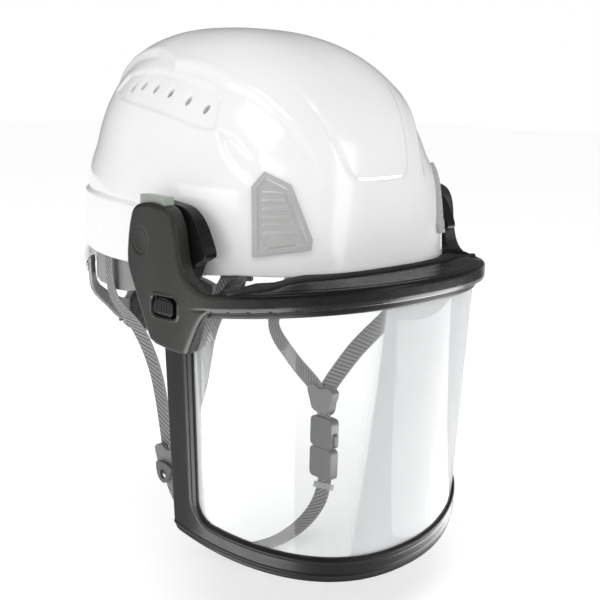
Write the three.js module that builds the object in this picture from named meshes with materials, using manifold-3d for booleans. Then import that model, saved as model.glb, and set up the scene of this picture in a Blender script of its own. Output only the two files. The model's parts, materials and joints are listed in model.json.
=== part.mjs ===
// Arborist helmet with a flip-up full-face visor.
// Millimetres, +Z up, +Y towards the back of the head, +X towards the wearer's left.
// The origin is the seat of the head; z = 0 is the plane of the shell's front rim.
import * as THREE from 'three';
import * as BufferGeometryUtils from 'three/addons/utils/BufferGeometryUtils.js';
import Module from 'manifold-3d';

const wasm = await Module();
wasm.setup();

// ---------------------------------------------------------------- dimensions
const GAP = 0.3;                 // clearance between touching pieces
// shell surface (superellipse plan, superellipse profile)
const SH = { af: 142.89, ar: 137.61, bx: 114.81, h: 157.54, mf: 2.98, mr: 1.85, nf: 2.46, nr: 2.58, nz: 2.66, yo: 12.85 };
const SHELL_WALL = 3.2;
const CREST_STEP = 3.5;          // the crown field stands this far above the sides
const SKIRT_PROUD = 2.3, GROOVE_Z = 37;
const REAR_DROP = 28, REAR_FLARE = 10;
const VENT_W = 4.2, VENT_L = 7.4;
const VENTS = [[89.2, 26.8, 116.4], [89.5, 12.8, 118.1], [90.6, -3.2, 116.4], [91.6, -21.4, 113.8], [92.1, -42.2, 109.3], [90.9, -60, 104.6]];
// visor plan curves and heights
const BAND = { w: 137.02, d: 114.86, y0: -65.03, e: 0.92, top: -10.69, slope: 0.08, height: 12.15 };
const LENS = { w: 126, d: 108.5, y0: -65.03, e: 0.92, taper: 0.05, lean: 2.1, sweep: 8, zTop: -20, zBot: -190, thick: 1.2 };
const RIM_SIDE_Z = -173, RIM_DROP = 33.18, RIM_POW = 1.32, RIM_HEIGHT = 17;
const WINDOW_EDGE = 12.75 * Math.PI / 180;
// visor hinge
const PIVOT_Y = -53, PIVOT_Z = 26;
const ADAPTER_FACE = 121, RING_IN = 121.3, RING_OUT = 124.2, TRAY_IN = 124.6, PLATE_WALL = 3.5;
// harness
const BAND_A = 84, BAND_B = 104, HEADBAND_T = 2.2, HEADBAND_H = 27;
const WEB_W = 15.5, WEB_T = 1.7;
const NAPE_R = 110, NAPE_Z = -67, PINION_R = 5.4, RACK_PITCH = 2.83;

const COL = {
  shell: [0xf1f1ef, 0.25, 0], clip: [0xb6b6b4, 0.5, 0], black: [0x1c1c1b, 0.42, 0], gasket: [0x2b2b2b, 0.8, 0], lens: [0xeef2f3, 0.05, 0],
  web: [0x6f6f6e, 0.9, 0], grey: [0x8b8b89, 0.55, 0], lock: [0x8a9292, 0.4, 0], foam: [0x55565a, 0.95, 0], steel: [0xb8babd, 0.3, 1], band: [0x7a7a79, 0.6, 0],
};

// ---------------------------------------------------------------- helpers
const V = (x, y, z) => new THREE.Vector3(x, y, z);
// merged, indexed, faces outwards
function outward(geo) {
  const c = geo.clone(); c.deleteAttribute('normal'); c.deleteAttribute('uv');
  const g = BufferGeometryUtils.mergeVertices(c, 1e-4), p = g.attributes.position, idx = Array.from(g.index.array), out = [];
  for (let i = 0; i < idx.length; i += 3) if (idx[i] !== idx[i + 1] && idx[i] !== idx[i + 2] && idx[i + 1] !== idx[i + 2]) out.push(idx[i], idx[i + 1], idx[i + 2]);
  const a = new THREE.Vector3(), b = new THREE.Vector3(), d = new THREE.Vector3(); let v = 0;
  for (let i = 0; i < out.length; i += 3) { a.fromBufferAttribute(p, out[i]); b.fromBufferAttribute(p, out[i + 1]); d.fromBufferAttribute(p, out[i + 2]); v += a.dot(b.cross(d)); }
  if (v < 0) for (let i = 0; i < out.length; i += 3) { const t = out[i + 1]; out[i + 1] = out[i + 2]; out[i + 2] = t; }
  g.setIndex(out); return g;
}
const lerp = (a, b, s) => a + (b - a) * s;
const sstep = (a, b, x) => { const s = Math.min(1, Math.max(0, (x - a) / (b - a))); return s * s * (3 - 2 * s); };
function interp(tab, x) {
  if (x <= tab[0][0]) return tab[0][1];
  for (let i = 1; i < tab.length; i++) if (x <= tab[i][0]) return lerp(tab[i - 1][1], tab[i][1], (x - tab[i - 1][0]) / (tab[i][0] - tab[i - 1][0]));
  return tab[tab.length - 1][1];
}
function signedVolume(pos, idx) {
  let v = 0;
  for (let i = 0; i < idx.length; i += 3) {
    const a = pos[idx[i]], b = pos[idx[i + 1]], c = pos[idx[i + 2]];
    v += a.x * (b.y * c.z - b.z * c.y) - a.y * (b.x * c.z - b.z * c.x) + a.z * (b.x * c.y - b.y * c.x);
  }
  return v / 6;
}
function toGeo(pos, idx) {
  if (signedVolume(pos, idx) < 0) for (let i = 0; i < idx.length; i += 3) { const t = idx[i + 1]; idx[i + 1] = idx[i + 2]; idx[i + 2] = t; }
  const g = new THREE.BufferGeometry();
  const a = new Float32Array(pos.length * 3);
  pos.forEach((p, i) => { a[3 * i] = p.x; a[3 * i + 1] = p.y; a[3 * i + 2] = p.z; });
  g.setAttribute('position', new THREE.BufferAttribute(a, 3));
  g.setIndex(idx);
  return g;
}
// closed body through section rings of equal length
function sweep(rings, closed = false) {
  const n = rings[0].length, m = rings.length, pos = [].concat(...rings), idx = [];
  const last = closed ? m : m - 1;
  for (let i = 0; i < last; i++) for (let j = 0; j < n; j++) {
    const a = i * n + j, b = i * n + (j + 1) % n, c = ((i + 1) % m) * n + (j + 1) % n, d = ((i + 1) % m) * n + j;
    idx.push(a, b, c, a, c, d);
  }
  if (!closed) {
    for (let j = 1; j < n - 1; j++) { idx.push(0, j + 1, j); const o = (m - 1) * n; idx.push(o, o + j, o + j + 1); }
  }
  return toGeo(pos, idx);
}
// flat strip along a path: path points, face normals, width and thickness (numbers or functions of 0..1)
function ribbon(path, normals, width, thick, closed = false) {
  const m = path.length, rings = [];
  for (let i = 0; i < m; i++) {
    const a = path[closed ? (i - 1 + m) % m : Math.max(0, i - 1)], b = path[closed ? (i + 1) % m : Math.min(m - 1, i + 1)];
    const t = b.clone().sub(a).normalize();
    const n = normals[i].clone().sub(t.clone().multiplyScalar(normals[i].dot(t))).normalize();
    const w = new THREE.Vector3().crossVectors(t, n).normalize();
    const s = i / (m - 1);
    const hw = (typeof width === 'function' ? width(s) : width) / 2, ht = (typeof thick === 'function' ? thick(s) : thick) / 2;
    const P = (u, v) => path[i].clone().addScaledVector(w, u * hw).addScaledVector(n, v * ht);
    rings.push([P(-1, -1), P(1, -1), P(1, 1), P(-1, 1)]);
  }
  return sweep(rings, closed);
}
function curvePts(pts, n) { return new THREE.CatmullRomCurve3(pts, false, 'centripetal').getPoints(n); }
function blendNormals(list, n) {
  const out = [];
  for (let i = 0; i <= n; i++) {
    const s = i / n * (list.length - 1), k = Math.min(list.length - 2, Math.floor(s));
    out.push(list[k].clone().lerp(list[k + 1], s - k).normalize());
  }
  return out;
}
const BASIS_YZ = new THREE.Matrix4().makeBasis(V(0, 1, 0), V(0, 0, 1), V(1, 0, 0));
function extrudeYZ(pts, x0, x1, holes = []) {
  const s = new THREE.Shape(pts.map(p => new THREE.Vector2(p[0], p[1])));
  for (const h of holes) s.holes.push(new THREE.Path(h.map(p => new THREE.Vector2(p[0], p[1]))));
  const g = new THREE.ExtrudeGeometry(s, { depth: x1 - x0, bevelEnabled: false });
  g.applyMatrix4(BASIS_YZ); g.translate(x0, 0, 0);
  return g;
}
function extrudeXZ(pts, y0, y1, holes = []) {          // profile in x,z pushed along y
  const s = new THREE.Shape(pts.map(p => new THREE.Vector2(p[0], p[1])));
  for (const h of holes) s.holes.push(new THREE.Path(h.map(p => new THREE.Vector2(p[0], p[1]))));
  const g = new THREE.ExtrudeGeometry(s, { depth: y1 - y0, bevelEnabled: false });
  g.rotateX(Math.PI / 2); g.translate(0, y1, 0);
  return g;
}
function circlePts(cx, cy, r, n, a0 = 0) { const o = []; for (let i = 0; i < n; i++) { const a = a0 + i / n * 2 * Math.PI; o.push([cx + r * Math.cos(a), cy + r * Math.sin(a)]); } return o; }
function smoothOutline(pts, n) {
  return new THREE.CatmullRomCurve3(pts.map(p => V(p[0], p[1], 0)), true, 'centripetal').getPoints(n).slice(0, -1).map(p => [p.x, p.y]);
}
function roundedRect(cx, cy, w, h, r, k = 3) {
  const o = [];
  for (const [sx, sy, a0] of [[1, 1, 0], [-1, 1, 90], [-1, -1, 180], [1, -1, 270]]) for (let i = 0; i <= k; i++) {
    const a = (a0 + 90 * i / k) * Math.PI / 180; o.push([cx + sx * (w / 2 - r) + r * Math.cos(a), cy + sy * (h / 2 - r) + r * Math.sin(a)]);
  }
  return o;
}
function solid(geo) {
  const m = outward(geo);
  return new wasm.Manifold(new wasm.Mesh({ numProp: 3, vertProperties: new Float32Array(m.attributes.position.array), triVerts: new Uint32Array(m.index.array) }));
}
function geoOf(man) {
  const m = man.getMesh(), g = new THREE.BufferGeometry(), n = m.vertProperties.length / m.numProp, a = new Float32Array(n * 3);
  for (let i = 0; i < n; i++) for (let k = 0; k < 3; k++) a[3 * i + k] = m.vertProperties[i * m.numProp + k];
  g.setAttribute('position', new THREE.BufferAttribute(a, 3)); g.setIndex(Array.from(m.triVerts));
  return g;
}
const cut = (g, ...tools) => geoOf(tools.reduce((m, t) => m.subtract(solid(t)), solid(g)));
const join = (g, ...adds) => geoOf(adds.reduce((m, t) => m.add(solid(t)), solid(g)));
function mirrored(geo) {
  const g = outward(geo), p = g.attributes.position;
  for (let i = 0; i < p.count; i++) p.setX(i, -p.getX(i));
  const idx = Array.from(g.index.array);
  for (let i = 0; i < idx.length; i += 3) { const t = idx[i + 1]; idx[i + 1] = idx[i + 2]; idx[i + 2] = t; }
  g.setIndex(idx); g.deleteAttribute('normal'); return g;
}
const root = new THREE.Group();
function piece(name, geo, col) {
  const [c, r, m] = COL[col];
  const g = outward(geo);
  g.computeVertexNormals();
  const mesh = new THREE.Mesh(g, new THREE.MeshStandardMaterial({ color: c, roughness: r, metalness: m, flatShading: false }));
  mesh.name = name; root.add(mesh); return mesh;
}
function pair(name, geoLeft, col) { piece(name + '_left', geoLeft, col); piece(name + '_right', mirrored(geoLeft), col); }

// ---------------------------------------------------------------- shell
function plan(theta) {
  const c = Math.cos(theta), s = Math.sin(theta), m = c > 0 ? SH.mf : SH.mr, a = c > 0 ? SH.af : SH.ar;
  const r = Math.pow(Math.pow(Math.abs(c), m) / Math.pow(a, m) + Math.pow(Math.abs(s), m) / Math.pow(SH.bx, m), -1 / m);
  return [r * s, -r * c, c];
}
function surfAt(theta, z) {
  const [x, y, c] = plan(theta);
  if (z <= 0) return V(x, y, z);
  const w = 0.5 + 0.5 * c, nh = SH.nf * w + SH.nr * (1 - w);
  const sA = Math.min(1, Math.pow(z / SH.h, SH.nz / 2)), R = Math.pow(Math.max(0, 1 - sA * sA), 1 / nh);
  return V(x * R, y * R + SH.yo * z / SH.h, z);
}
const zOf = t => SH.h * Math.pow(Math.sin(t * Math.PI / 2), 2 / SH.nz);
const rimZ = th => { const a = Math.abs(th) * 180 / Math.PI; return -3 * sstep(40, 60, a) - (REAR_DROP - 3) * sstep(126, 152, a); };
function normalAt(theta, z) {
  const e = 0.004, dz = 0.4, z0 = Math.max(0.5, Math.min(z, SH.h - 0.8));
  const a = surfAt(theta + e, z0).sub(surfAt(theta - e, z0)), b = surfAt(theta, z0 + dz).sub(surfAt(theta, z0 - dz));
  const n = a.cross(b).normalize(); const p = surfAt(theta, z0);
  if (n.dot(V(p.x, p.y, Math.max(0, z - 60))) < 0) n.negate();
  return n;
}
const CREST = [[-145, 40], [-128, 48], [-120, 52.5], [-112, 57], [-98, 65], [-70, 74.5], [-14, 77.5], [20, 67], [41, 64], [80, 56], [120, 44]];
function flareOf(theta, z) { const a = Math.abs(theta) * 180 / Math.PI; return REAR_FLARE * sstep(118, 150, a) * Math.pow(Math.max(0, (35 - z) / (35 + REAR_DROP)), 1.6); }
function shellOuter(theta, z, extra = 0, detail = true) {
  const p = surfAt(theta, z), n = normalAt(theta, z), a = Math.abs(theta) * 180 / Math.PI;
  let d = extra;
  if (detail) {
    const edge = Math.abs(p.x) - interp(CREST, p.y);
    d -= CREST_STEP * sstep(0, 4, edge) * sstep(50, 76, z) ;
    d += SKIRT_PROUD * sstep(50, 60, a) * (1 - sstep(GROOVE_Z - 1.5, GROOVE_Z + 1.5, z));
  }
  p.addScaledVector(n, d);
  const f = flareOf(theta, z), h = V(p.x, p.y, 0).normalize();
  return p.addScaledVector(h, f);
}
function shellInner(theta, z, extra = 0) {
  const p = surfAt(theta, z), n = normalAt(theta, z);
  p.addScaledVector(n, -(SHELL_WALL + 2.8 * sstep(45, 80, z)) - extra);
  const f = flareOf(theta, z), h = V(p.x, p.y, 0).normalize();
  return p.addScaledVector(h, f);
}
const NTH = 48;
const thAt = i => -Math.PI + 2 * Math.PI * i / NTH;
function domeRings(zs, fn) { return zs.map(zz => { const r = []; for (let i = 0; i < NTH; i++) { const th = thAt(i); r.push(fn(th, typeof zz === 'function' ? zz(th) : zz)); } return r; }); }
function closedDome(outerRings, outerPole, innerRings, innerPole) {
  const pos = [], idx = [], rows = [];
  for (const r of outerRings) { rows.push(pos.length); pos.push(...r); }
  const po = pos.length; pos.push(outerPole);
  const irows = [];
  for (const r of innerRings) { irows.push(pos.length); pos.push(...r); }
  const pi = pos.length; pos.push(innerPole);
  const quad = (a, b) => { for (let i = 0; i < NTH; i++) { const j = (i + 1) % NTH; idx.push(a + i, a + j, b + j, a + i, b + j, b + i); } };
  const fan = (a, p, flip) => { for (let i = 0; i < NTH; i++) { const j = (i + 1) % NTH; flip ? idx.push(a + j, a + i, p) : idx.push(a + i, a + j, p); } };
  for (let k = 0; k < rows.length - 1; k++) quad(rows[k], rows[k + 1]);
  fan(rows[rows.length - 1], po, false);
  quad(irows[0], rows[0]);
  for (let k = 0; k < irows.length - 1; k++) quad(irows[k + 1], irows[k]);
  fan(irows[irows.length - 1], pi, true);
  return toGeo(pos, idx);
}
const zsOuter = [th => rimZ(th), th => rimZ(th) * 0.35 + 8, 22, 35, 39.5, 54, 70, 86, 101, 115, 128, 139, 148, 154, 157];
const zsInner = [th => rimZ(th), th => rimZ(th) * 0.35 + 8, 30, 55, 80, 104, 124, 140, 149];
const shellRaw = closedDome(domeRings(zsOuter, (th, z) => shellOuter(th, z)), V(0, SH.yo, SH.h),
  domeRings(zsInner, (th, z) => shellInner(th, z, 0)), V(0, SH.yo, SH.h - SHELL_WALL - 2.8));
// a filled copy, standing off by a gap, used to trim what sits against the shell
const shellFilled = off => closedDome(domeRings([-45, th => rimZ(th), th => rimZ(th) * 0.35 + 8, 22, 35, 39.5, 54, 70, 86, 101, 115, 128, 139, 148, 154, 157], (th, z) => z === -45 ? shellOuter(th, -28, off).setZ(-45) : shellOuter(th, z, off)), V(0, SH.yo, SH.h + off),
  [Array.from({ length: NTH }, (_, i) => { const p = shellOuter(thAt(i), -28, off - 20); return p.setZ(-45); })], V(0, SH.yo, -45));
let shellMan = solid(shellRaw);
for (const sgn of [1, -1]) for (const [x, y, z] of VENTS) {
  const dir = V(sgn * x, y * 0.25, z * 0.75).normalize();
  const g = new THREE.CylinderGeometry(1, 1, 30, 8); g.scale(VENT_W / 2, 1, VENT_L / 2);
  // the long axis of each oval leans with the channel
  const q = new THREE.Quaternion().setFromUnitVectors(V(0, 1, 0), dir);
  g.rotateY(0.3 * sgn); g.applyQuaternion(q); g.translate(sgn * x, y, z);
  shellMan = shellMan.subtract(solid(g));
}
piece('shell', geoOf(shellMan), 'shell');
const trimShell = shellFilled(GAP + 0.1);

// ---------------------------------------------------------------- lamp clips
const CLIP = [[88.2, -106.3, 55.5], [81, -110.3, 65.1], [68.9, -122.2, 56.9], [60.2, -133.2, 23.2], [61.4, -133.4, 17.1], [91.3, -111.7, 12.6]].map(p => V(...p));
function clipFrame() {
  const c = V(0, 0, 0); CLIP.forEach(p => c.add(p)); c.divideScalar(CLIP.length);
  const n = CLIP[5].clone().sub(CLIP[1]).cross(CLIP[3].clone().sub(CLIP[1])).normalize(); if (n.dot(c) < 0) n.negate();
  const e1 = V(0, 0, 1).addScaledVector(n, -n.z).normalize(), e2 = new THREE.Vector3().crossVectors(e1, n);
  return { c, n, e1, e2 };
}
const cf = clipFrame();
let clipTop = -99;
for (let a = 20; a <= 60; a += 1) for (let z = 14; z <= 66; z += 2) {
  const p = shellOuter(a * Math.PI / 180, z), q = p.clone().sub(cf.c), u = q.dot(cf.e2), v = q.dot(cf.e1);
  const poly = CLIP.map(k => { const w = k.clone().sub(cf.c); return [w.dot(cf.e2), w.dot(cf.e1)]; });
  let inside = false;
  for (let i = 0, j = poly.length - 1; i < poly.length; j = i++) if ((poly[i][1] > v) !== (poly[j][1] > v) && u < (poly[j][0] - poly[i][0]) * (v - poly[i][1]) / (poly[j][1] - poly[i][1]) + poly[i][0]) inside = !inside;
  if (inside) clipTop = Math.max(clipTop, q.dot(cf.n));
}
const CLIP_TOP = clipTop + 1.8;
const clipShape = new THREE.Shape(CLIP.map(k => { const w = k.clone().sub(cf.c); return new THREE.Vector2(w.dot(cf.e2), w.dot(cf.e1)); }));
const clipGeo = new THREE.ExtrudeGeometry(clipShape, { depth: CLIP_TOP + 14, bevelEnabled: false });
clipGeo.translate(0, 0, -14);
clipGeo.applyMatrix4(new THREE.Matrix4().makeBasis(cf.e2, cf.e1, cf.n).setPosition(cf.c));
pair('lamp_clip', cut(clipGeo, trimShell), 'clip');

// ---------------------------------------------------------------- adapters, pins, detent rings (fixed to the shell)
const adapterOutline = smoothOutline([[-67, 43.4], [-81, 41.7], [-91, 35.4], [-99, 24], [-103, 14], [-99, 11], [-93, 8], [-86, -4], [-72, -11], [-55, -12], [-40, -6], [-31, 9], [-30, 27], [-38, 40], [-52, 44]], 44);
pair('adapter', cut(extrudeYZ(adapterOutline, 111.8, ADAPTER_FACE), trimShell), 'black');
const pinProfile = [[0, 0], [9, 0], [9, 2.2], [5.9, 2.2], [5.9, 7.8], [0, 7.8]];
const latheX = (prof, x0, seg = 24) => { const g = new THREE.LatheGeometry(prof.map(p => new THREE.Vector2(p[0], p[1])), seg); g.rotateZ(-Math.PI / 2); g.translate(x0, PIVOT_Y, PIVOT_Z); return g; };
pair('pivot_pin', latheX(pinProfile, RING_IN), 'grey');
pair('pivot_screw', latheX([[0, 0], [5, 0], [5, 2.2], [4.2, 3], [2.2, 3], [2.2, 1.4], [0, 1.4]], RING_IN + 8.1), 'steel');
const ringPts = [];
const RA0 = -40, RA1 = 42, RT = 46;
for (let i = 0; i <= RT; i++) { const a = (180 - lerp(RA0, RA1, i / RT)) * Math.PI / 180, r = 24 + 0.9 * Math.cos(i / RT * Math.PI * 2 * 9); ringPts.push([PIVOT_Y + r * Math.cos(a), PIVOT_Z + r * Math.sin(a)]); }
for (let i = 12; i >= 0; i--) { const a = (180 - lerp(RA0, RA1, i / 12)) * Math.PI / 180; ringPts.push([PIVOT_Y + 19 * Math.cos(a), PIVOT_Z + 19 * Math.sin(a)]); }
pair('detent_ring', extrudeYZ(ringPts, RING_IN, RING_OUT), 'black');

// ---------------------------------------------------------------- visor: carrier
function planCurve(c, t) { const ct = Math.cos(t), st = Math.abs(Math.sin(t)); return [Math.sign(ct) * c.w * Math.pow(Math.abs(ct), c.e), c.y0 - c.d * Math.pow(st, c.e)]; }
function planX(c, y) { if (y >= c.y0) return c.w; const s = Math.pow(Math.min(1, (c.y0 - y) / c.d), 1 / c.e); return c.w * Math.pow(Math.sqrt(Math.max(0, 1 - s * s)), c.e); }
const bandTop = y => BAND.top + BAND.slope * (BAND.y0 - y), bandBot = y => bandTop(y) - BAND.height;
const PLATE_HI = [[-113.2, -7.7], [-106, -5.6], [-99.8, -2.5], [-96, 2.6], [-93.5, 9], [-91.8, 16], [-91.2, 21], [-90.3, 27], [-88.6, 33], [-86, 37.6], [-82.5, 41.2], [-77, 43.6], [-67.6, 44.8], [-59, 44.2], [-51.3, 42.2], [-46.7, 38.4], [-43.6, 30], [-41.8, 21.3], [-40.6, 12]];
const PLATE_LO = [[-113.2, -19.9], [-109, -24], [-106, -29.3], [-101, -41.4], [-99.4, -46], [-97, -47.6], [-88, -46.8], [-66.5, -44.3], [-62, -37], [-55.6, -25.4], [-47, -10], [-42.4, -1.4], [-40.6, 4]];
const trayIn = y => y > -104 ? TRAY_IN : lerp(TRAY_IN, 122.6, Math.min(1, (-104 - y) / 8));
const trayYs = [-113.2, -110, -106, -103, -99.8, -97.8, -96, -93.5, -91.8, -91.2, -90.3, -88.6, -86, -82.5, -77, -72, -67.6, -62, -59, -55.6, -51.3, -48.5, -46.7, -44.8, -43.6, -42.4, -41.6, -40.6];
const tray = sweep(trayYs.map(y => { const X = planX(BAND, y), hi = interp(PLATE_HI, y), lo = interp(PLATE_LO, y), xi = trayIn(y); return [V(X, y, lo + 0.0), V(X, y, hi), V(xi, y, hi), V(xi, y, lo)]; }));
const cavYs = [-96.5, -93.5, -91.8, -91.2, -90.3, -88.6, -86, -82.5, -77, -72, -67.6, -62, -59, -55.6, -51.3, -48.5, -46.7, -45, -43.6];
const cavHi = y => Math.min(interp(PLATE_HI, y - 1.8), interp(PLATE_HI, y), interp(PLATE_HI, y + 1.6)) - 2.2;
const cavLo = y => Math.max(interp(PLATE_LO, y - 1.8), interp(PLATE_LO, y), interp(PLATE_LO, y + 1.6)) + 2.2;
const cavity = sweep(cavYs.map(y => { const X = planX(BAND, y) - PLATE_WALL, hi = cavHi(y), lo = cavLo(y); return [V(X, y, lo), V(X, y, hi), V(118, y, hi), V(118, y, lo)]; }));
// inner edge of the carrier in plan
const INNER = [[122.6, -95], [122.7, -104], [122.8, -112], [122.4, -118], [121.3, -124], [117, -128], [110, -131.5], [93, -137.5], [70, -144.5], [48, -149.4], [24, -151.3], [0, -151.8]];
function innerAt(s) { // s 0..1 from the side to the middle
  const L = INNER.slice(1).map((p, i) => Math.hypot(p[0] - INNER[i][0], p[1] - INNER[i][1])), T = L.reduce((a, b) => a + b, 0);
  let d = s * T; for (let i = 0; i < L.length; i++) { if (d <= L[i] || i === L.length - 1) { const k = Math.min(1, d / L[i]); return [lerp(INNER[i][0], INNER[i + 1][0], k), lerp(INNER[i][1], INNER[i + 1][1], k)]; } d -= L[i]; }
}
const tOfY = (c, y) => Math.asin(Math.pow((c.y0 - y) / c.d, 1 / c.e));
const T0 = tOfY(BAND, -98), NB = 32;
const bandRings = [];
for (let i = 0; i <= NB; i++) {
  const s = i / NB, t = lerp(T0, Math.PI - T0, s), [ox, oy] = planCurve(BAND, t);
  const h = s < 0.5 ? s * 2 : (1 - s) * 2, [ix0, iy] = innerAt(h), ix = s < 0.5 ? ix0 : -ix0;
  const D = Math.hypot(ix - ox, iy - oy), ux = (ix - ox) / D, uy = (iy - oy) / D;
  const zt = bandTop(oy), zb = bandBot(oy), zi = 0.2, B = Math.min(14.5, D - 0.8);
  const P = (u, z) => V(ox + ux * u, oy + uy * u, z);
  bandRings.push([P(0, zb), P(0, zt - 1.6), P(1.4, zt), P(Math.min(9, D * 0.6), zt + 0.35 * (zi - zt)), P(D, lerp(zt, zi, sstep(10, 20, D))), P(D, lerp(zt, zi, sstep(10, 20, D)) - 3.6), P(B, zt - 4.4), P(B, zb)]);
}
const band = sweep(bandRings);

// ---------------------------------------------------------------- visor: frame and lens
const qz = z => (LENS.zTop - z) / (LENS.zTop - LENS.zBot);
function lensPoint(t, z, off) {
  const f = (tt, zz) => { const q = qz(zz), k = 1 - LENS.taper * q, [x, y] = planCurve({ ...LENS, w: LENS.w * k, d: LENS.d * k }, tt); return V(x, y + LENS.lean * q - LENS.sweep * q * Math.pow(1 - Math.abs(Math.sin(tt)), 2), zz); };
  const a = Math.max(0.02, Math.min(Math.PI - 0.02, t));
  const p = f(t, z), d = f(a + 0.01, z).sub(f(a - 0.01, z)); const n = V(-d.y, d.x, 0).normalize(); if (n.x * p.x + n.y * (p.y + 60) < 0) n.negate();
  return p.addScaledVector(n, off);
}
const rimBot = t => RIM_SIDE_Z - RIM_DROP * Math.pow(Math.abs(Math.sin(t)), RIM_POW);
const railTop = t => bandBot(planCurve(LENS, t)[1] - 4) + 3.4, railBot = t => railTop(t) - 7.6;
const NT = 30;
function sheet(t0, t1, n, lo, hi, o0, o1, ts) {
  const rings = [], T = ts || Array.from({ length: n + 1 }, (_, i) => lerp(t0, t1, i / n));
  for (const t of T) rings.push([lensPoint(t, lo(t), o0), lensPoint(t, lo(t), o1), lensPoint(t, hi(t), o1), lensPoint(t, hi(t), o0)]);
  return sweep(rings);
}
// window outline with rounded corners; grow widens it evenly
function windowTs(t0) { const o = []; for (const k of [0, 0.015, 0.045, 0.08, 0.13]) o.push(t0 + k); for (let i = 1; i < 20; i++) o.push(lerp(t0 + 0.13, Math.PI - t0 - 0.13, i / 20)); for (const k of [0.13, 0.08, 0.045, 0.015, 0]) o.push(Math.PI - t0 - k); return o; }
function windowSheet(grow, o0, o1) {
  const t0 = WINDOW_EDGE - grow / 112, R = 15, S = 0.13;
  const corner = t => { const s = Math.min(t - t0, Math.PI - t0 - t); const k = Math.min(1, Math.max(0, s / S)); return R * (1 - Math.sqrt(1 - (1 - k) * (1 - k))); };
  const lo = t => rimBot(t) + RIM_HEIGHT - grow + corner(t) * 0.75, hi = t => railBot(t) + grow - corner(t);
  return sheet(0, 0, 0, lo, hi, o0, o1, windowTs(t0));
}
const FRAME_IN = -2, FRAME_OUT = 2.4;
const frameSheet = sheet(0, Math.PI, NT, rimBot, railTop, FRAME_IN, FRAME_OUT);
const visorFrame = cut(frameSheet, windowSheet(0, -9, 9), windowSheet(4.4, -LENS.thick / 2 - 0.35, LENS.thick / 2 + 0.35));
piece('visor_frame', visorFrame, 'black');
piece('lens', windowSheet(4, -LENS.thick / 2, LENS.thick / 2), 'lens');
const sideClear = new THREE.BoxGeometry(5.6, 11, 190); sideClear.translate(126.2, -67, -110);
const frameClear = sheet(0, Math.PI, NT, t => rimBot(t) - 0.5, t => railTop(t) + GAP + 0.1, FRAME_IN - GAP - 0.2, FRAME_OUT + GAP + 0.2);

// latch and lock slots, hinge boss
const LATCH_Y = [-88.5, -69.5], LATCH_Z = [-25.3, -13.2], LATCH_TRAVEL = 2.4;
const latchOutline = [[-69.8, -22.4], [-70.4, -19], [-72.2, -15.4], [-76, -13.6], [-81, -13], [-85.6, -14], [-88, -16.4], [-88.2, -22.6], [-85.6, -24.9], [-78, -24.6], [-71.6, -23.9]];
const slotOutline = roundedRect((LATCH_Y[0] - LATCH_TRAVEL - 0.6 + LATCH_Y[1] + 0.6) / 2, -19.1, LATCH_Y[1] - LATCH_Y[0] + LATCH_TRAVEL + 1.2, 13.4, 4);
const latchSlot = extrudeYZ(slotOutline, 128, 140);
const lockSlot = new THREE.BoxGeometry(9.6, 27.6, 16.8); lockSlot.translate(128.2, -63, 44.6);
const boss = latheX([[6.4, 0], [9.6, 0], [9.6, 8.4], [6.4, 8.4], [6.4, 0]], 125.6);
const bossKeep = latheX([[0, 0], [6.4, 0], [6.4, 7.9], [0, 7.9]], 120.5);
const trayCut = cut(tray, cavity, latchSlot, lockSlot);
const trayBoss = join(trayCut, boss);
const cLeft = trayBoss, cRight = mirrored(trayBoss);
const bandCut = cut(band, cavity, mirrored(cavity));
piece('carrier', cut(join(bandCut, cLeft, cRight), frameClear, sideClear, mirrored(sideClear)), 'black');

// brow gasket between the carrier's inner edge and the shell
const gRings = [];
const NG = 30;
for (let i = 0; i <= NG; i++) {
  const s = i / NG, h0 = s < 0.5 ? s * 2 : (1 - s) * 2, h = lerp(0.185, 1, h0), sg = s < 0.5 ? 1 : -1, [ix, iy] = innerAt(h);
  const a = Math.atan2(ix, -(iy + 62));
  // shell point on the same ray
  let lo = 0.0, hi = 1.75, th = 0; for (let k = 0; k < 40; k++) { th = (lo + hi) / 2; const p = shellOuter(th, 2, 0, false); (Math.atan2(p.x, -(p.y + 62)) < a) ? lo = th : hi = th; }
  const q = shellOuter(th, 2, 2.2, false);
  const D = Math.hypot(q.x - ix, q.y - iy), ux = (q.x - ix) / D, uy = (q.y - iy) / D;
  const tip = Math.min(1, (h - 0.185) / 0.06), W = lerp(1.2, D - 0.4, tip * (2 - tip));
  // the ends dip with the carrier's inner edge
  const [ox, oy] = planCurve(BAND, lerp(T0, Math.PI / 2, h)), dip = lerp(bandTop(oy), 0.2, sstep(10, 20, Math.hypot(ix - ox, iy - oy))) - 0.2;
  const P = (u, z) => V(sg * (ix + ux * u), iy + uy * u, z + dip);
  gRings.push([P(0.4, -2.8), P(0.4, 1.0), P(1.2, 2.0), P(0.4 + W, 2.4), P(0.4 + W, -1.6)]);
}
piece('brow_gasket', sweep(gRings), 'gasket');

// detent springs: a leaf below the boss that rides the detent ring
const springPath = [], springN = [];
for (let i = 0; i <= 14; i++) { const a = (lerp(200, 262, i / 14)) * Math.PI / 180, r = 26.2 + 0.9 * Math.sin(i / 14 * Math.PI); springPath.push(V(0, PIVOT_Y + r * Math.cos(a), PIVOT_Z + r * Math.sin(a))); springN.push(V(0, Math.cos(a), Math.sin(a))); }
const leaf = ribbon(springPath.map(p => p.clone().setX(127.4)), springN, 5.2, 0.9);
pair('detent_spring', leaf, 'steel');

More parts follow.
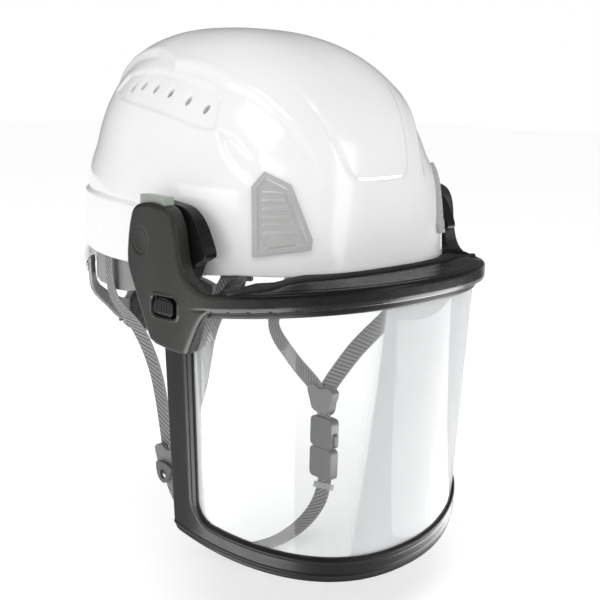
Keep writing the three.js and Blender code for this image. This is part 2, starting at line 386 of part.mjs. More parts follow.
// latches: ribbed pusher with a guide flange behind the wall
const bendX = (geo, ref) => { const p = geo.attributes.position; for (let i = 0; i < p.count; i++) p.setX(i, p.getX(i) - (BAND.w - planX(BAND, p.getY(i)))); return geo; };
let latch = extrudeYZ(latchOutline, 132.7, 137.0);
latch = join(latch, extrudeYZ(roundedRect(-79, -19.1, 21.5, 15.6, 3), 130.2, 133.1));
for (let i = 0; i < 6; i++) { const y = -85.4 + i * 2.35; const r = new THREE.BoxGeometry(1.6, 1.2, 8.6); r.translate(137.1, y, -19); latch = join(latch, r); }
pair('visor_latch', bendX(latch), 'black');
const lockG = join((() => { const b = new THREE.BoxGeometry(8, 26, 9.2); b.translate(128.6, -63, 43.9); return b; })(), (() => { const b = new THREE.BoxGeometry(5.6, 16, 2); b.translate(128.6, -63, 39.1); return b; })());
pair('lock_button', lockG, 'lock');

// ---------------------------------------------------------------- headband and crown cradle
// the headband is an ellipse round the brow and follows the shell's wall at the back
const DEG = 180 / Math.PI;
function hbBase(th) {
  const a = Math.abs(th) * DEG, k = sstep(58, 106, a), off = lerp(8.8, 4.8, sstep(113, 126, a));
  const e = V(BAND_A * Math.sin(th), -BAND_B * Math.cos(th), 0), w = shellInner(th, -12, off); w.z = 0;
  return e.lerp(w, k).setZ(lerp(18, -18, sstep(25, 112, a)));
}
function hbNormal(th) { const d = hbBase(th + 0.01).sub(hbBase(th - 0.01)); const n = V(d.y, -d.x, 0).normalize(), p = hbBase(th); if (n.x * p.x + n.y * p.y < 0) n.negate(); return n; }
function hbPoint(th, dr = 0, dz = 0) { const p = hbBase(th).addScaledVector(hbNormal(th), dr); p.z += dz; return p; }
const HB_END = 150 * Math.PI / 180, NH = 36;
const hbP = [], hbN = [];
for (let i = 0; i <= NH; i++) { const th = lerp(-HB_END, HB_END, i / NH); hbP.push(hbPoint(th)); hbN.push(hbNormal(th)); }
let headband = ribbon(hbP, hbN, HEADBAND_H, HEADBAND_T);
const CLIPS = [[50, 34, 'front'], [128, 30, 'rear']];
const clipPos = [];
for (const [deg, z] of CLIPS) {
  const th = deg * Math.PI / 180, p = shellInner(th, z, 5.2), n = normalAt(th, z);
  clipPos.push({ th, p, n });
}
for (const sg of [1, -1]) for (const c of clipPos) {
  const th = c.th, a = hbPoint(th, 0.6, c.p.y < 0 ? -6 : 6), p = c.p.clone(), n = V(c.n.x, c.n.y, 0).normalize();
  const end = p.clone().addScaledVector(n, -5.4); end.z = p.z - 2;
  const mid = end.clone(); mid.z = p.z - 17; if (c.p.y < 0) mid.addScaledVector(n, -3.2);
  const pts = curvePts([a, mid, end], 6);
  let g = ribbon(pts, pts.map(() => n), 14, 1.8);
  if (sg < 0) g = mirrored(g);
  headband = join(headband, g);
}
piece('headband', headband, 'band');
const swP = [], swN = [];
for (let i = 0; i <= 20; i++) { const th = lerp(-1.15, 1.15, i / 20); swP.push(hbPoint(th, -HEADBAND_T / 2 - 0.9 - 2.25, 0)); swN.push(hbNormal(th)); }
piece('sweatband', ribbon(swP, swN, s => 32 - 10 * Math.pow(Math.abs(2 * s - 1), 6), s => 4.5 - 1.5 * Math.pow(Math.abs(2 * s - 1), 8)), 'foam');
clipPos.forEach((c, k) => {
  const n = V(c.n.x, c.n.y, 0).normalize(), tz = V(0, 0, 1), tx = new THREE.Vector3().crossVectors(n, tz);
  const g = new THREE.BoxGeometry(22, 5, 24); g.applyMatrix4(new THREE.Matrix4().makeBasis(tx, n, tz).setPosition(c.p.clone().addScaledVector(n, -1.2)));
  pair("cradle_clip_" + CLIPS[k][2], g, "grey");
});
// crossing straps over the head
const CR_TOP = 120;
let cradle = null;
for (const c of clipPos) {
  for (const sg of [1, -1]) {
    const n = V(c.n.x, c.n.y, 0).normalize(), p = c.p.clone().addScaledVector(n, -8.6); p.z = c.p.z + 1;
    const pts = [], N = [];
    for (let i = 0; i <= 12; i++) {
      const u = i / 12 * Math.PI / 2, k = Math.pow(Math.cos(u), 0.8), z = lerp(p.z, CR_TOP, Math.pow(Math.sin(u), 1.1));
      pts.push(V(p.x * k, SH.yo * 0.6 * (1 - k) + p.y * k, z)); N.push(V(n.x * Math.cos(u), n.y * Math.cos(u), Math.sin(u) + 0.02));
    }
    let g = ribbon(pts, N, 19, 1.6); if (sg < 0) g = mirrored(g);
    cradle = cradle ? join(cradle, g) : g;
  }
}
const hub = new THREE.CylinderGeometry(27, 27, 2.4, 28); hub.rotateX(Math.PI / 2); hub.translate(0, SH.yo * 0.6, CR_TOP);
cradle = join(cradle, hub);
piece('crown_cradle', cradle, 'web');
const cpad = new THREE.LatheGeometry([[0, 0], [20, 0], [25, -1], [26, -3], [24, -5.4], [14, -6.6], [0, -7]].map(p => new THREE.Vector2(p[0], p[1])), 28);
cpad.rotateX(Math.PI / 2); cpad.translate(0, SH.yo * 0.6, CR_TOP - 3.4);
piece('crown_pad', cpad, 'foam');

// ---------------------------------------------------------------- nape cradle, knob and racks
const ARM_R = (() => { const p = hbPoint(Math.PI - 0.73, 1.1 + 2.3 + 1.3); return Math.hypot(p.x, p.y); })();
const npPoint = (phi, z, R) => V(R * Math.sin(phi), R * Math.cos(phi), z);
const plateP = [], plateN = [];
for (let i = 0; i <= 16; i++) { const ph = lerp(-0.46, 0.46, i / 16); plateP.push(npPoint(ph, NAPE_Z, NAPE_R)); plateN.push(npPoint(ph, 0, 1)); }
let yoke = ribbon(plateP, plateN, s => 46 - 26 * Math.pow(Math.abs(2 * s - 1), 3), 2.8);
for (const sg of [1, -1]) {
  const ctl = [[0.36, -66], [0.5, -63], [0.62, -54], [0.69, -42], [0.72, -30], [0.73, -16.5]].map(([ph, z]) => npPoint(ph, z, lerp(NAPE_R - 0.4, ARM_R, sstep(-62, -38, z))));
  const pts = curvePts(ctl, 14), N = pts.map(p => V(p.x, p.y, 0).normalize());
  let g = ribbon(pts, N, s => lerp(19, 11, sstep(0, 0.6, s)), 2.6); if (sg < 0) g = mirrored(g);
  yoke = join(yoke, g);
}
piece('nape_cradle', cut(yoke, (() => { const g = new THREE.CylinderGeometry(6, 6, 20, 20); g.translate(0, NAPE_R, NAPE_Z); return g; })()), 'grey');
const npadP = [], npadN = [];
for (let i = 0; i <= 14; i++) { const ph = lerp(-0.42, 0.42, i / 14); npadP.push(npPoint(ph, NAPE_Z, NAPE_R - 1.4 - 0.4 - 2.4)); npadN.push(npPoint(ph, 0, 1)); }
piece('nape_pad', ribbon(npadP, npadN, s => 42 - 22 * Math.pow(Math.abs(2 * s - 1), 4), s => 4.6 - 1.6 * Math.pow(Math.abs(2 * s - 1), 6)), 'foam');
const coverOuter = extrudeXZ(roundedRect(0, NAPE_Z, 66, 34, 9, 4), NAPE_R + 2.2, NAPE_R + 9.6);
const coverIn = extrudeXZ([[-40, NAPE_Z - 12.4], [40, NAPE_Z - 12.4], [40, NAPE_Z + 12.4], [-40, NAPE_Z + 12.4]], NAPE_R - 2, NAPE_R + 6.8);
const bore = new THREE.CylinderGeometry(6, 6, 30, 24); bore.translate(0, NAPE_R + 6, NAPE_Z);
piece('nape_cover', cut(coverOuter, coverIn, bore), 'grey');
const knobPts = []; for (let i = 0; i < 48; i++) { const a = i / 48 * 2 * Math.PI, r = 16 + 0.9 * Math.cos(a * 12); knobPts.push([r * Math.cos(a), NAPE_Z + r * Math.sin(a)]); }
piece('ratchet_knob', extrudeXZ(knobPts, NAPE_R + 10, NAPE_R + 19), 'band');
const pinPts = []; for (let i = 0; i < 48; i++) { const a = i / 48 * 2 * Math.PI, r = 4.9 + 0.35 * Math.cos(a * 12); pinPts.push([r * Math.cos(a), NAPE_Z + r * Math.sin(a)]); }
piece('pinion', extrudeXZ(pinPts, NAPE_R + 1.9, NAPE_R + 9.7), 'grey');
function rack(sg) {
  const top = [], bot = [], z0 = 5.75, z1 = 11.4, x0 = -12, x1 = 44, n = 36;
  for (let i = 0; i <= n; i++) { const x = lerp(x0, x1, i / n); bot.push([sg * x, NAPE_Z + sg * (z0 + 0.35 * (0.5 - 0.5 * Math.cos(2 * Math.PI * x / RACK_PITCH)))]); }
  top.push([sg * x1, NAPE_Z + sg * z1], [sg * x0, NAPE_Z + sg * z1]);
  return extrudeXZ([...bot, ...top], NAPE_R + 2.4, NAPE_R + 4.4);
}
piece('rack_left', rack(1), 'grey');
piece('rack_right', rack(-1), 'grey');
const rivX = npPoint(0.725, -24, ARM_R);
const rivet = new THREE.LatheGeometry([[0, 0], [5, 0], [4.4, 1.4], [2.4, 2.2], [0, 2.4]].map(p => new THREE.Vector2(p[0], p[1])), 18);
rivet.applyQuaternion(new THREE.Quaternion().setFromUnitVectors(V(0, 1, 0), V(rivX.x, rivX.y, 0).normalize()));
rivet.translate(rivX.x + 1.9 * Math.sin(0.725), rivX.y + 1.9 * Math.cos(0.725), rivX.z);
pair('nape_rivet', rivet, 'steel');

// ---------------------------------------------------------------- chin strap
const FRONT_TH = 44 * Math.PI / 180, REAR_TH = 108 * Math.PI / 180;
const anchors = [];
for (const [nm, th, z] of [['front', FRONT_TH, 5], ['rear', REAR_TH, 7]]) {
  const n = V(normalAt(th, z).x, normalAt(th, z).y, 0).normalize(), p = shellInner(th, z, 0).addScaledVector(n, -4.3);
  const tz = V(0, 0, 1), tx = new THREE.Vector3().crossVectors(n, tz);
  const g = new THREE.BoxGeometry(21, 4.6, 18); g.applyMatrix4(new THREE.Matrix4().makeBasis(tx, n, tz).setPosition(p));
  anchors.push({ nm, p, n, box: g });
}
function strap(pts, norms, n = 20, w = WEB_W) { return ribbon(curvePts(pts, n), blendNormals(norms, n), w, WEB_T); }
const X1 = V(1, 0, 0);
const aF = anchors[0].p.clone(), aR = anchors[1].p.clone();
const fTop = aF.clone().add(V(0, 0, -3)), rTop = aR.clone().add(V(0, 0, -3));
const Lf = strap([fTop, V(88.5, -76, -48), V(77, -42, -92), V(71.6, -19, -127), V(71.4, -17.5, -131)], [anchors[0].n, V(0.9, -0.3, 0), X1, X1, X1], 22);
const Lr = strap([rTop, V(103, 37, -18), V(101, 42, -36), V(90, 58, -62), V(78, 57, -88), V(72, 27, -110), V(68.6, -8, -128), V(68.5, -11, -131)], [anchors[1].n, anchors[1].n, V(1, 0.3, 0), V(1, 0.1, 0), X1, X1, X1, X1], 30);
const mx = v => V(-v.x, v.y, v.z);
const Rf = strap([mx(fTop), V(-85, -62, -40), V(-79, -40, -96), V(-76.6, -10, -148), V(-76.4, -7, -152)], [mx(anchors[0].n), V(-1, -0.2, 0), V(-1, 0, 0), V(-1, 0, 0), V(-1, 0, 0)], 22);
const Rr = strap([mx(rTop), V(-103.4, 33, -18), V(-101, 31, -36), V(-86, 22, -62), V(-78, 13, -92), V(-73.6, 4, -146), V(-73.5, 3, -152)], [mx(anchors[1].n), mx(anchors[1].n), V(-1, 0.2, 0), V(-1, 0, 0), V(-1, 0, 0), V(-1, 0, 0), V(-1, 0, 0)], 28);
// grown copies of the strap ends cut the slots they pass through
const growAll = (pts, norms, n) => { const P = curvePts(pts, n); const N = blendNormals(norms, n); const a = P[0].clone().sub(P[1]).normalize().multiplyScalar(0.6), b = P[P.length - 1].clone().sub(P[P.length - 2]).normalize().multiplyScalar(0.6); P[0].add(a); P[P.length - 1].add(b); return ribbon(P, N, WEB_W + 0.9, WEB_T + 0.7); };
const LfG = growAll([fTop, V(88.5, -76, -48), V(77, -42, -92), V(71.6, -19, -127), V(71.4, -17.5, -131)], [anchors[0].n, V(0.9, -0.3, 0), X1, X1, X1], 22);
const LrG = growAll([rTop, V(103, 37, -18), V(101, 42, -36), V(90, 58, -62), V(78, 57, -88), V(72, 27, -110), V(68.6, -8, -128), V(68.5, -11, -131)], [anchors[1].n, anchors[1].n, V(1, 0.3, 0), V(1, 0.1, 0), X1, X1, X1, X1], 30);
const RfG = growAll([mx(fTop), V(-85, -62, -40), V(-79, -40, -96), V(-76.6, -10, -148), V(-76.4, -7, -152)], [mx(anchors[0].n), V(-1, -0.2, 0), V(-1, 0, 0), V(-1, 0, 0), V(-1, 0, 0)], 22);
const RrG = growAll([mx(rTop), V(-103.4, 33, -18), V(-101, 31, -36), V(-86, 22, -62), V(-78, 13, -92), V(-73.6, 4, -146), V(-73.5, 3, -152)], [mx(anchors[1].n), mx(anchors[1].n), V(-1, 0.2, 0), V(-1, 0, 0), V(-1, 0, 0), V(-1, 0, 0), V(-1, 0, 0)], 28);
piece('strap_front_left', Lf, 'web'); piece('strap_rear_left', Lr, 'web'); piece('strap_front_right', Rf, 'web'); piece('strap_rear_right', Rr, 'web');
piece('strap_anchor_front_left', cut(anchors[0].box, LfG), 'grey');
piece('strap_anchor_front_right', cut(mirrored(anchors[0].box), RfG), 'grey');
piece('strap_anchor_rear_left', cut(anchors[1].box, LrG), 'grey');
piece('strap_anchor_rear_right', cut(mirrored(anchors[1].box), RrG), 'grey');
// dividers: the plates where the front and rear straps join
const divOutline = (y, z) => smoothOutline([[y - 15, z + 6], [y - 8, z + 9.5], [y, z + 7], [y + 8, z + 9.5], [y + 15, z + 6], [y + 12, z - 4], [y + 8, z - 12], [y - 8, z - 12], [y - 12, z - 4]], 26);
const LD = [70, -15, -135], RD = [-75, -2, -157];
function divider(c, ...straps) { return cut(extrudeYZ(divOutline(c[1], c[2]), c[0] - 4, c[0] + 4), ...straps); }
const upPts = [V(70, -16, -142), V(70, -16.5, -148), V(70, -17.5, -155)];
const upper = strap(upPts, [X1, X1, X1], 4);
const upperG = growAll(upPts, [X1, X1, X1], 4);
const chinPts = [V(70, -20, -199), V(69, -20.5, -209), V(60, -23, -224), V(38, -26, -236), V(4, -27, -241), V(-34, -22, -233), V(-62, -11, -208), V(-73.5, -3, -180), V(-75, -2, -163)];
const chinN = [X1, V(1, 0, -0.3), V(0.7, 0, -0.8), V(0.3, 0, -1), V(0, 0, -1), V(-0.4, 0, -1), V(-0.85, 0, -0.55), V(-1, 0, -0.1), V(-1, 0, 0)];
const chin = strap(chinPts, chinN, 34), chinG = growAll(chinPts, chinN, 34);
piece('strap_divider_left', divider(LD, LfG, LrG, upperG), 'grey');
piece('strap_divider_right', divider(RD, RfG, RrG, chinG), 'grey');
piece('strap_upper_left', upper, 'web');
piece('chin_strap', chin, 'web');
// cam levers on the dividers
const leverPts = c => smoothOutline([[c[1] - 8, c[2] - 3], [c[1] + 8, c[2] - 3], [c[1] + 8.6, c[2] - 8], [c[1] + 6, c[2] - 15], [c[1], c[2] - 18], [c[1] - 6, c[2] - 15], [c[1] - 8.6, c[2] - 8]], 20);
const leverHole = c => circlePts(c[1], c[2] - 11, 3.6, 14);
piece('strap_lever_left', extrudeYZ(leverPts(LD), LD[0] + 5.0, LD[0] + 7.5, [leverHole(LD)]), 'band');
piece('strap_lever_right', extrudeYZ(leverPts(RD), RD[0] - 7.5, RD[0] - 5.0, [leverHole(RD)]), 'band');
// side-release buckle
const BK = { x: 70, y: -18, top: -152, mid: -178, bot: -205, w: 25, t: 9 };
const female = cut(extrudeYZ(roundedRect(BK.y, (BK.top + BK.mid) / 2, BK.w, BK.top - BK.mid, 4), BK.x - BK.t / 2, BK.x + BK.t / 2), upperG,
  (() => { const g = new THREE.BoxGeometry(5.4, 16.6, 17); g.translate(BK.x, BK.y, BK.mid + 7.5); return g; })(),
  (() => { const g = new THREE.BoxGeometry(4.8, 40, 12.4); g.translate(BK.x, BK.y, BK.mid + 8.2); return g; })());
piece('buckle_female', female, 'band');
let male = extrudeYZ(roundedRect(BK.y, (BK.mid - 0.4 + BK.bot) / 2, BK.w, BK.mid - 0.4 - BK.bot, 4), BK.x - BK.t / 2, BK.x + BK.t / 2);
male = join(male, (() => { const g = new THREE.BoxGeometry(4.4, 6.8, 15); g.translate(BK.x, BK.y, BK.mid + 6.5); return g; })());
piece('buckle_male', cut(male, chinG), 'band');
for (const [nm, s] of [['front', -1], ['rear', 1]]) {
  const pts = [[BK.y + s * 5.4, BK.mid + 0.3], [BK.y + s * 9, BK.mid + 3.6], [BK.y + s * 14.6, BK.mid + 4.4], [BK.y + s * 15, BK.mid + 8], [BK.y + s * 14, BK.mid + 12.8], [BK.y + s * 9, BK.mid + 12.6], [BK.y + s * 5.4, BK.mid + 9]];
  piece('buckle_tab_' + nm, extrudeYZ(pts, BK.x - 2.1, BK.x + 2.1), 'band');
}
// slider and keeper on the chin strap
const at = k => { const P = curvePts(chinPts, 34); return { p: P[k], t: P[k + 1].clone().sub(P[k - 1]).normalize(), n: blendNormals(chinN, 34)[k] }; };
function loopOn(k, len, w, th) {
  const { p, t, n } = at(k); const nn = n.clone().addScaledVector(t, -n.dot(t)).normalize(), b = new THREE.Vector3().crossVectors(nn, t);
  const M = new THREE.Matrix4().makeBasis(b, nn, t).setPosition(p);
  const o = new THREE.BoxGeometry(w, th, len); o.applyMatrix4(M);
  return cut(o, chinG);
}
piece('strap_keeper', loopOn(5, 5, 19, 5), 'grey');
piece('strap_slider', loopOn(26, 9, 21, 6), 'grey');

export default root;
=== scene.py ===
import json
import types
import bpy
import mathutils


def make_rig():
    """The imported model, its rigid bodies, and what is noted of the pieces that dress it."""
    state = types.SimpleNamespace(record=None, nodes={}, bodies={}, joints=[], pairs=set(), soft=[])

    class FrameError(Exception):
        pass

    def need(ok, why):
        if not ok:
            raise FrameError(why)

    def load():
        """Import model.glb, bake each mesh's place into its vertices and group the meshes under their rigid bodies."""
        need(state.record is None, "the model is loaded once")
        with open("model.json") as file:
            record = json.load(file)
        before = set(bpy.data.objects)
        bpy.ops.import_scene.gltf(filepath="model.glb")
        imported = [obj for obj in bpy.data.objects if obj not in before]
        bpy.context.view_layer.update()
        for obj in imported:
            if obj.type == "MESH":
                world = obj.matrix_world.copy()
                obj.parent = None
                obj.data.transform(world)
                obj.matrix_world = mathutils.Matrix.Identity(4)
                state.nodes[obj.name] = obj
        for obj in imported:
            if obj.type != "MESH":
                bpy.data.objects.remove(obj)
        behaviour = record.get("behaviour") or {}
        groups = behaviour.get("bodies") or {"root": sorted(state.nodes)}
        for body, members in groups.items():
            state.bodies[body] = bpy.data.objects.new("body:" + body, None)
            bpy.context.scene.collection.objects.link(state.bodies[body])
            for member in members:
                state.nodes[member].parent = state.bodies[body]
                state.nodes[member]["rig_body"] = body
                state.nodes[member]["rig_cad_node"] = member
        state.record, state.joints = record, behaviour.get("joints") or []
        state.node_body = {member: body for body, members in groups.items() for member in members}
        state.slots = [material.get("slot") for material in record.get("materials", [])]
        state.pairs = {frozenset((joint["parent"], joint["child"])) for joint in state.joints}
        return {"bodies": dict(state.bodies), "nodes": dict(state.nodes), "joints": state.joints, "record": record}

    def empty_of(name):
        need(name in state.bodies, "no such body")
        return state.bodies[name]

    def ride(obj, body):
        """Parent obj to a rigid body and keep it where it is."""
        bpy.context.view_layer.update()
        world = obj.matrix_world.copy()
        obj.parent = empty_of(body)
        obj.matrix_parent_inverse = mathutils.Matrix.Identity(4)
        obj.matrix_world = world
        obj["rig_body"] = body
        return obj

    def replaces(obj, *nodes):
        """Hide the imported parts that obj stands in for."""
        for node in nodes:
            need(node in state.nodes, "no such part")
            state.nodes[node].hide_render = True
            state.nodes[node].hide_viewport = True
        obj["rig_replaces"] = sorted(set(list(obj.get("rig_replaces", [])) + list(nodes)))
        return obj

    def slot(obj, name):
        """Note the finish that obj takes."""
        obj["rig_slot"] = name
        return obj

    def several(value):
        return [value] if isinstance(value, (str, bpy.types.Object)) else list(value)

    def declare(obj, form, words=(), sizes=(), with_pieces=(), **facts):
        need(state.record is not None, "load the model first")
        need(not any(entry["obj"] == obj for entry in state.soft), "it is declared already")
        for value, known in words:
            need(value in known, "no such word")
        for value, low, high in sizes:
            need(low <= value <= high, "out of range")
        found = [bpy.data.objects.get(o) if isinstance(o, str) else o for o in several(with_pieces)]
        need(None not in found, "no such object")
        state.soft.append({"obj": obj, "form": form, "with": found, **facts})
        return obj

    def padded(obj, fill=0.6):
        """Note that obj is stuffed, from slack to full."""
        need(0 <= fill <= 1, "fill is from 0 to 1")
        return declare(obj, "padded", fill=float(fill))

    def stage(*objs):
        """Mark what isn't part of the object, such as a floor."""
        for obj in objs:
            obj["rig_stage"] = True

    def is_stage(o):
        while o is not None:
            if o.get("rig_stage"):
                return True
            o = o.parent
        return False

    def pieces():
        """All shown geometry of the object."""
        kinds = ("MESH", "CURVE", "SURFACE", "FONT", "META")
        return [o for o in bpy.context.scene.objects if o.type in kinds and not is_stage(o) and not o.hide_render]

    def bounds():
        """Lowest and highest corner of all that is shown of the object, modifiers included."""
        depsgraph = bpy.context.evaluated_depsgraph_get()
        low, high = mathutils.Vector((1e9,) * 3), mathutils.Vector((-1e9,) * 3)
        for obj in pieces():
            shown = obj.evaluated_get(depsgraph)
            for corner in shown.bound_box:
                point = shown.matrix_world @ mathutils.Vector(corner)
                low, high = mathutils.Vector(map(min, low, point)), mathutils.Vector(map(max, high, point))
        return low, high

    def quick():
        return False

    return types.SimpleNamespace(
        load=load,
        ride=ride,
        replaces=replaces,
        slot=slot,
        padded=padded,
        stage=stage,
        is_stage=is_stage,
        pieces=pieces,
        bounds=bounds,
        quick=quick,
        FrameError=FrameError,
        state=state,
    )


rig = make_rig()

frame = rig.load()

import json
import math
import bpy
import bmesh
import numpy as np
from mathutils import Matrix, Vector

CAD_LO, CAD_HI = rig.bounds()
MM = 0.001
RAD = math.pi / 180


# ------------------------------------------------------------------ small maths
def ss(a, b, x):
    t = np.clip((x - a) / (b - a), 0, 1)
    return t * t * (3 - 2 * t)


def tab(points, y):
    p = np.array(points, float)
    return np.interp(y, p[:, 0], p[:, 1])


def lerp(a, b, t):
    return a + (b - a) * t


def rmax(a, b, r):
    return np.minimum(np.maximum(a, b), -r) + np.sqrt(np.maximum(a + r, 0) ** 2 + np.maximum(b + r, 0) ** 2)


def smin(a, b, k):
    h = np.clip(0.5 + 0.5 * (b - a) / k, 0, 1)
    return b + (a - b) * h - k * h * (1 - h)


def rbox(x, y, hx, hy, r):
    qx, qy = np.abs(x) - hx + r, np.abs(y) - hy + r
    return np.sqrt(np.maximum(qx, 0) ** 2 + np.maximum(qy, 0) ** 2) + np.minimum(np.maximum(qx, qy), 0) - r


def poly_sdf(px, py, pts):
    p = np.array(pts, float)
    d, s, n = np.full(px.shape, 1e12), np.ones(px.shape), len(p)
    for i in range(n):
        j = i - 1
        e = p[j] - p[i]
        wx, wy = px - p[i, 0], py - p[i, 1]
        t = np.clip((wx * e[0] + wy * e[1]) / max(e @ e, 1e-12), 0, 1)
        d = np.minimum(d, (wx - e[0] * t) ** 2 + (wy - e[1] * t) ** 2)
        c1, c2, c3 = py >= p[i, 1], py < p[j, 1], e[0] * wy > e[1] * wx
        s = np.where((c1 & c2 & c3) | (~c1 & ~c2 & ~c3), -s, s)
    return s * np.sqrt(d)


def catmull(pts, n):
    """Centripetal Catmull-Rom through pts, n + 1 points."""
    p = np.array(pts, float)
    p = np.vstack([2 * p[0] - p[1], p, 2 * p[-1] - p[-2]])
    out = []
    m = len(p) - 3
    for i in range(n + 1):
        s = i / n * m
        k = min(m - 1, int(s))
        w = s - k
        a, b, c, d = p[k:k + 4]
        t0 = 0.0
        t1 = t0 + max(np.linalg.norm(b - a), 1e-6) ** 0.5
        t2 = t1 + max(np.linalg.norm(c - b), 1e-6) ** 0.5
        t3 = t2 + max(np.linalg.norm(d - c), 1e-6) ** 0.5
        t = t1 + w * (t2 - t1)
        A1 = (t1 - t) / (t1 - t0) * a + (t - t0) / (t1 - t0) * b
        A2 = (t2 - t) / (t2 - t1) * b + (t - t1) / (t2 - t1) * c
        A3 = (t3 - t) / (t3 - t2) * c + (t - t2) / (t3 - t2) * d
        B1 = (t2 - t) / (t2 - t0) * A1 + (t - t0) / (t2 - t0) * A2
        B2 = (t3 - t) / (t3 - t1) * A2 + (t - t1) / (t3 - t1) * A3
        out.append((t2 - t) / (t2 - t1) * B1 + (t - t1) / (t2 - t1) * B2)
    return np.array(out)


# ------------------------------------------------------------------ meshes
def mesh_obj(name, verts, faces, mats=(), sharp=None, uv=None):
    """Makes an object from millimetre points and quads or triangles."""
    me = bpy.data.meshes.new(name)
    v = np.asarray(verts, float) * MM
    if isinstance(faces, np.ndarray):
        k = faces.shape[1]
        me.vertices.add(len(v))
        me.vertices.foreach_set("co", v.astype(np.float32).ravel())
        me.loops.add(faces.size)
        me.loops.foreach_set("vertex_index", faces.astype(np.int32).ravel())
        me.polygons.add(len(faces))
        me.polygons.foreach_set("loop_start", (np.arange(len(faces)) * k).astype(np.int32))
        me.update(calc_edges=True)
    else:
        me.from_pydata([tuple(p) for p in v], [], faces)
    me.validate()
    me.shade_smooth()
    if sharp:
        me.set_sharp_from_angle(angle=sharp * RAD)
    if uv is not None:
        layer = me.uv_layers.new(name="weave")
        idx = np.zeros(len(me.loops), np.int32)
        me.loops.foreach_get("vertex_index", idx)
        layer.data.foreach_set("uv", np.asarray(uv, np.float32)[idx].ravel())
    o = bpy.data.objects.new(name, me)
    bpy.context.scene.collection.objects.link(o)
    for m in mats:
        me.materials.append(m)
    return o


def nets(field, lo, hi, step, newton=3):
    """Surface nets of field < 0 in a box, with the points pulled onto the surface."""
    lo, hi = np.array(lo, float), np.array(hi, float)
    h = np.array(step if hasattr(step, "__len__") else [step] * 3, float)
    n = np.ceil((hi - lo) / h).astype(int) + 1
    ax = [lo[i] + h[i] * np.arange(n[i]) for i in range(3)]
    X, Y, Z = np.meshgrid(*ax, indexing="ij")
    V = field(X, Y, Z)
    ins = V < 0
    c = np.zeros(tuple(n - 1), np.int8)
    for a in (0, 1):
        for b in (0, 1):
            for d in (0, 1):
                c += ins[a:n[0] - 1 + a, b:n[1] - 1 + b, d:n[2] - 1 + d]
    cell = (c > 0) & (c < 8)
    idx = np.full(cell.shape, -1, np.int64)
    idx[cell] = np.arange(cell.sum())
    base = np.argwhere(cell)
    acc, cnt = np.zeros((len(base), 3)), np.zeros(len(base))
    corners = [(a, b, d) for a in (0, 1) for b in (0, 1) for d in (0, 1)]
    for p in corners:
        for q in corners:
            if sum(abs(p[i] - q[i]) for i in range(3)) == 1 and p < q:
                P, Q = base + p, base + q
                va, vb = V[P[:, 0], P[:, 1], P[:, 2]], V[Q[:, 0], Q[:, 1], Q[:, 2]]
                m = (va < 0) != (vb < 0)
                t = va[m] / (va[m] - vb[m])
                acc[m] += P[m] + (Q[m] - P[m]) * t[:, None]
                cnt[m] += 1
    pts = lo + h * (acc / cnt[:, None])
    quads = []
    for axis in range(3):
        o1, o2 = (axis + 1) % 3, (axis + 2) % 3
        sl = [slice(1, n[k] - 1) for k in range(3)]
        sl[axis] = slice(0, n[axis] - 1)
        s2 = list(sl)
        s2[axis] = slice(1, n[axis])
        a, b = ins[tuple(sl)], ins[tuple(s2)]
        e = np.argwhere(a != b)
        off = np.array([sl[k].start for k in range(3)])
        g = e + off
        q = []
        for d1, d2 in ((0, 0), (1, 0), (1, 1), (0, 1)):
            w = g.copy()
            w[:, o1] -= d1
            w[:, o2] -= d2
            q.append(idx[w[:, 0], w[:, 1], w[:, 2]])
        q = np.stack(q, 1)
        fl = a[tuple(e.T)]
        q[~fl] = q[~fl][:, ::-1]
        quads.append(q)
    quads = np.vstack(quads)
    quads = quads[(quads >= 0).all(1)]
    e = h * 0.12
    for _ in range(newton):
        f0 = field(pts[:, 0], pts[:, 1], pts[:, 2])
        g = np.stack([(field(*(pts + np.eye(3)[i] * e[i]).T) - field(*(pts - np.eye(3)[i] * e[i]).T)) / (2 * e[i]) for i in range(3)], 1)
        L = np.maximum((g * g).sum(1), 0.05)
        mv = -g * (f0 / L)[:, None]
        mv = np.clip(mv, -h * 0.5, h * 0.5)
        pts = pts + mv * 0.9
    return pts, quads


def sdf_piece(name, field, lo, hi, step, warp=None, mat=None, sharp=40):
    p, q = nets(field, lo, hi, step)
    if warp is not None:
        p = warp(p)
    o = mesh_obj(name, p, q, [mat] if mat else [], sharp=sharp)
    fix_normals(o)
    return o


def fix_normals(o):
    """Turns the faces outward where the signed volume says that they point in."""
    me = o.data
    me.calc_loop_triangles()
    n = len(me.vertices)
    co = np.zeros(n * 3, np.float32)
    me.vertices.foreach_get("co", co)
    co = co.reshape(-1, 3)
    t = np.zeros(len(me.loop_triangles) * 3, np.int32)
    me.loop_triangles.foreach_get("vertices", t)
    t = t.reshape(-1, 3)
    a, b, c = co[t[:, 0]], co[t[:, 1]], co[t[:, 2]]
    if np.einsum("ij,ij->i", a, np.cross(b, c)).sum() < 0:
        me.flip_normals()


def apply_mods(o):
    dg = bpy.context.evaluated_depsgraph_get()
    me = bpy.data.meshes.new_from_object(o.evaluated_get(dg), depsgraph=dg)
    old = o.data
    o.modifiers.clear()
    o.data = me
    bpy.data.meshes.remove(old)
    return o


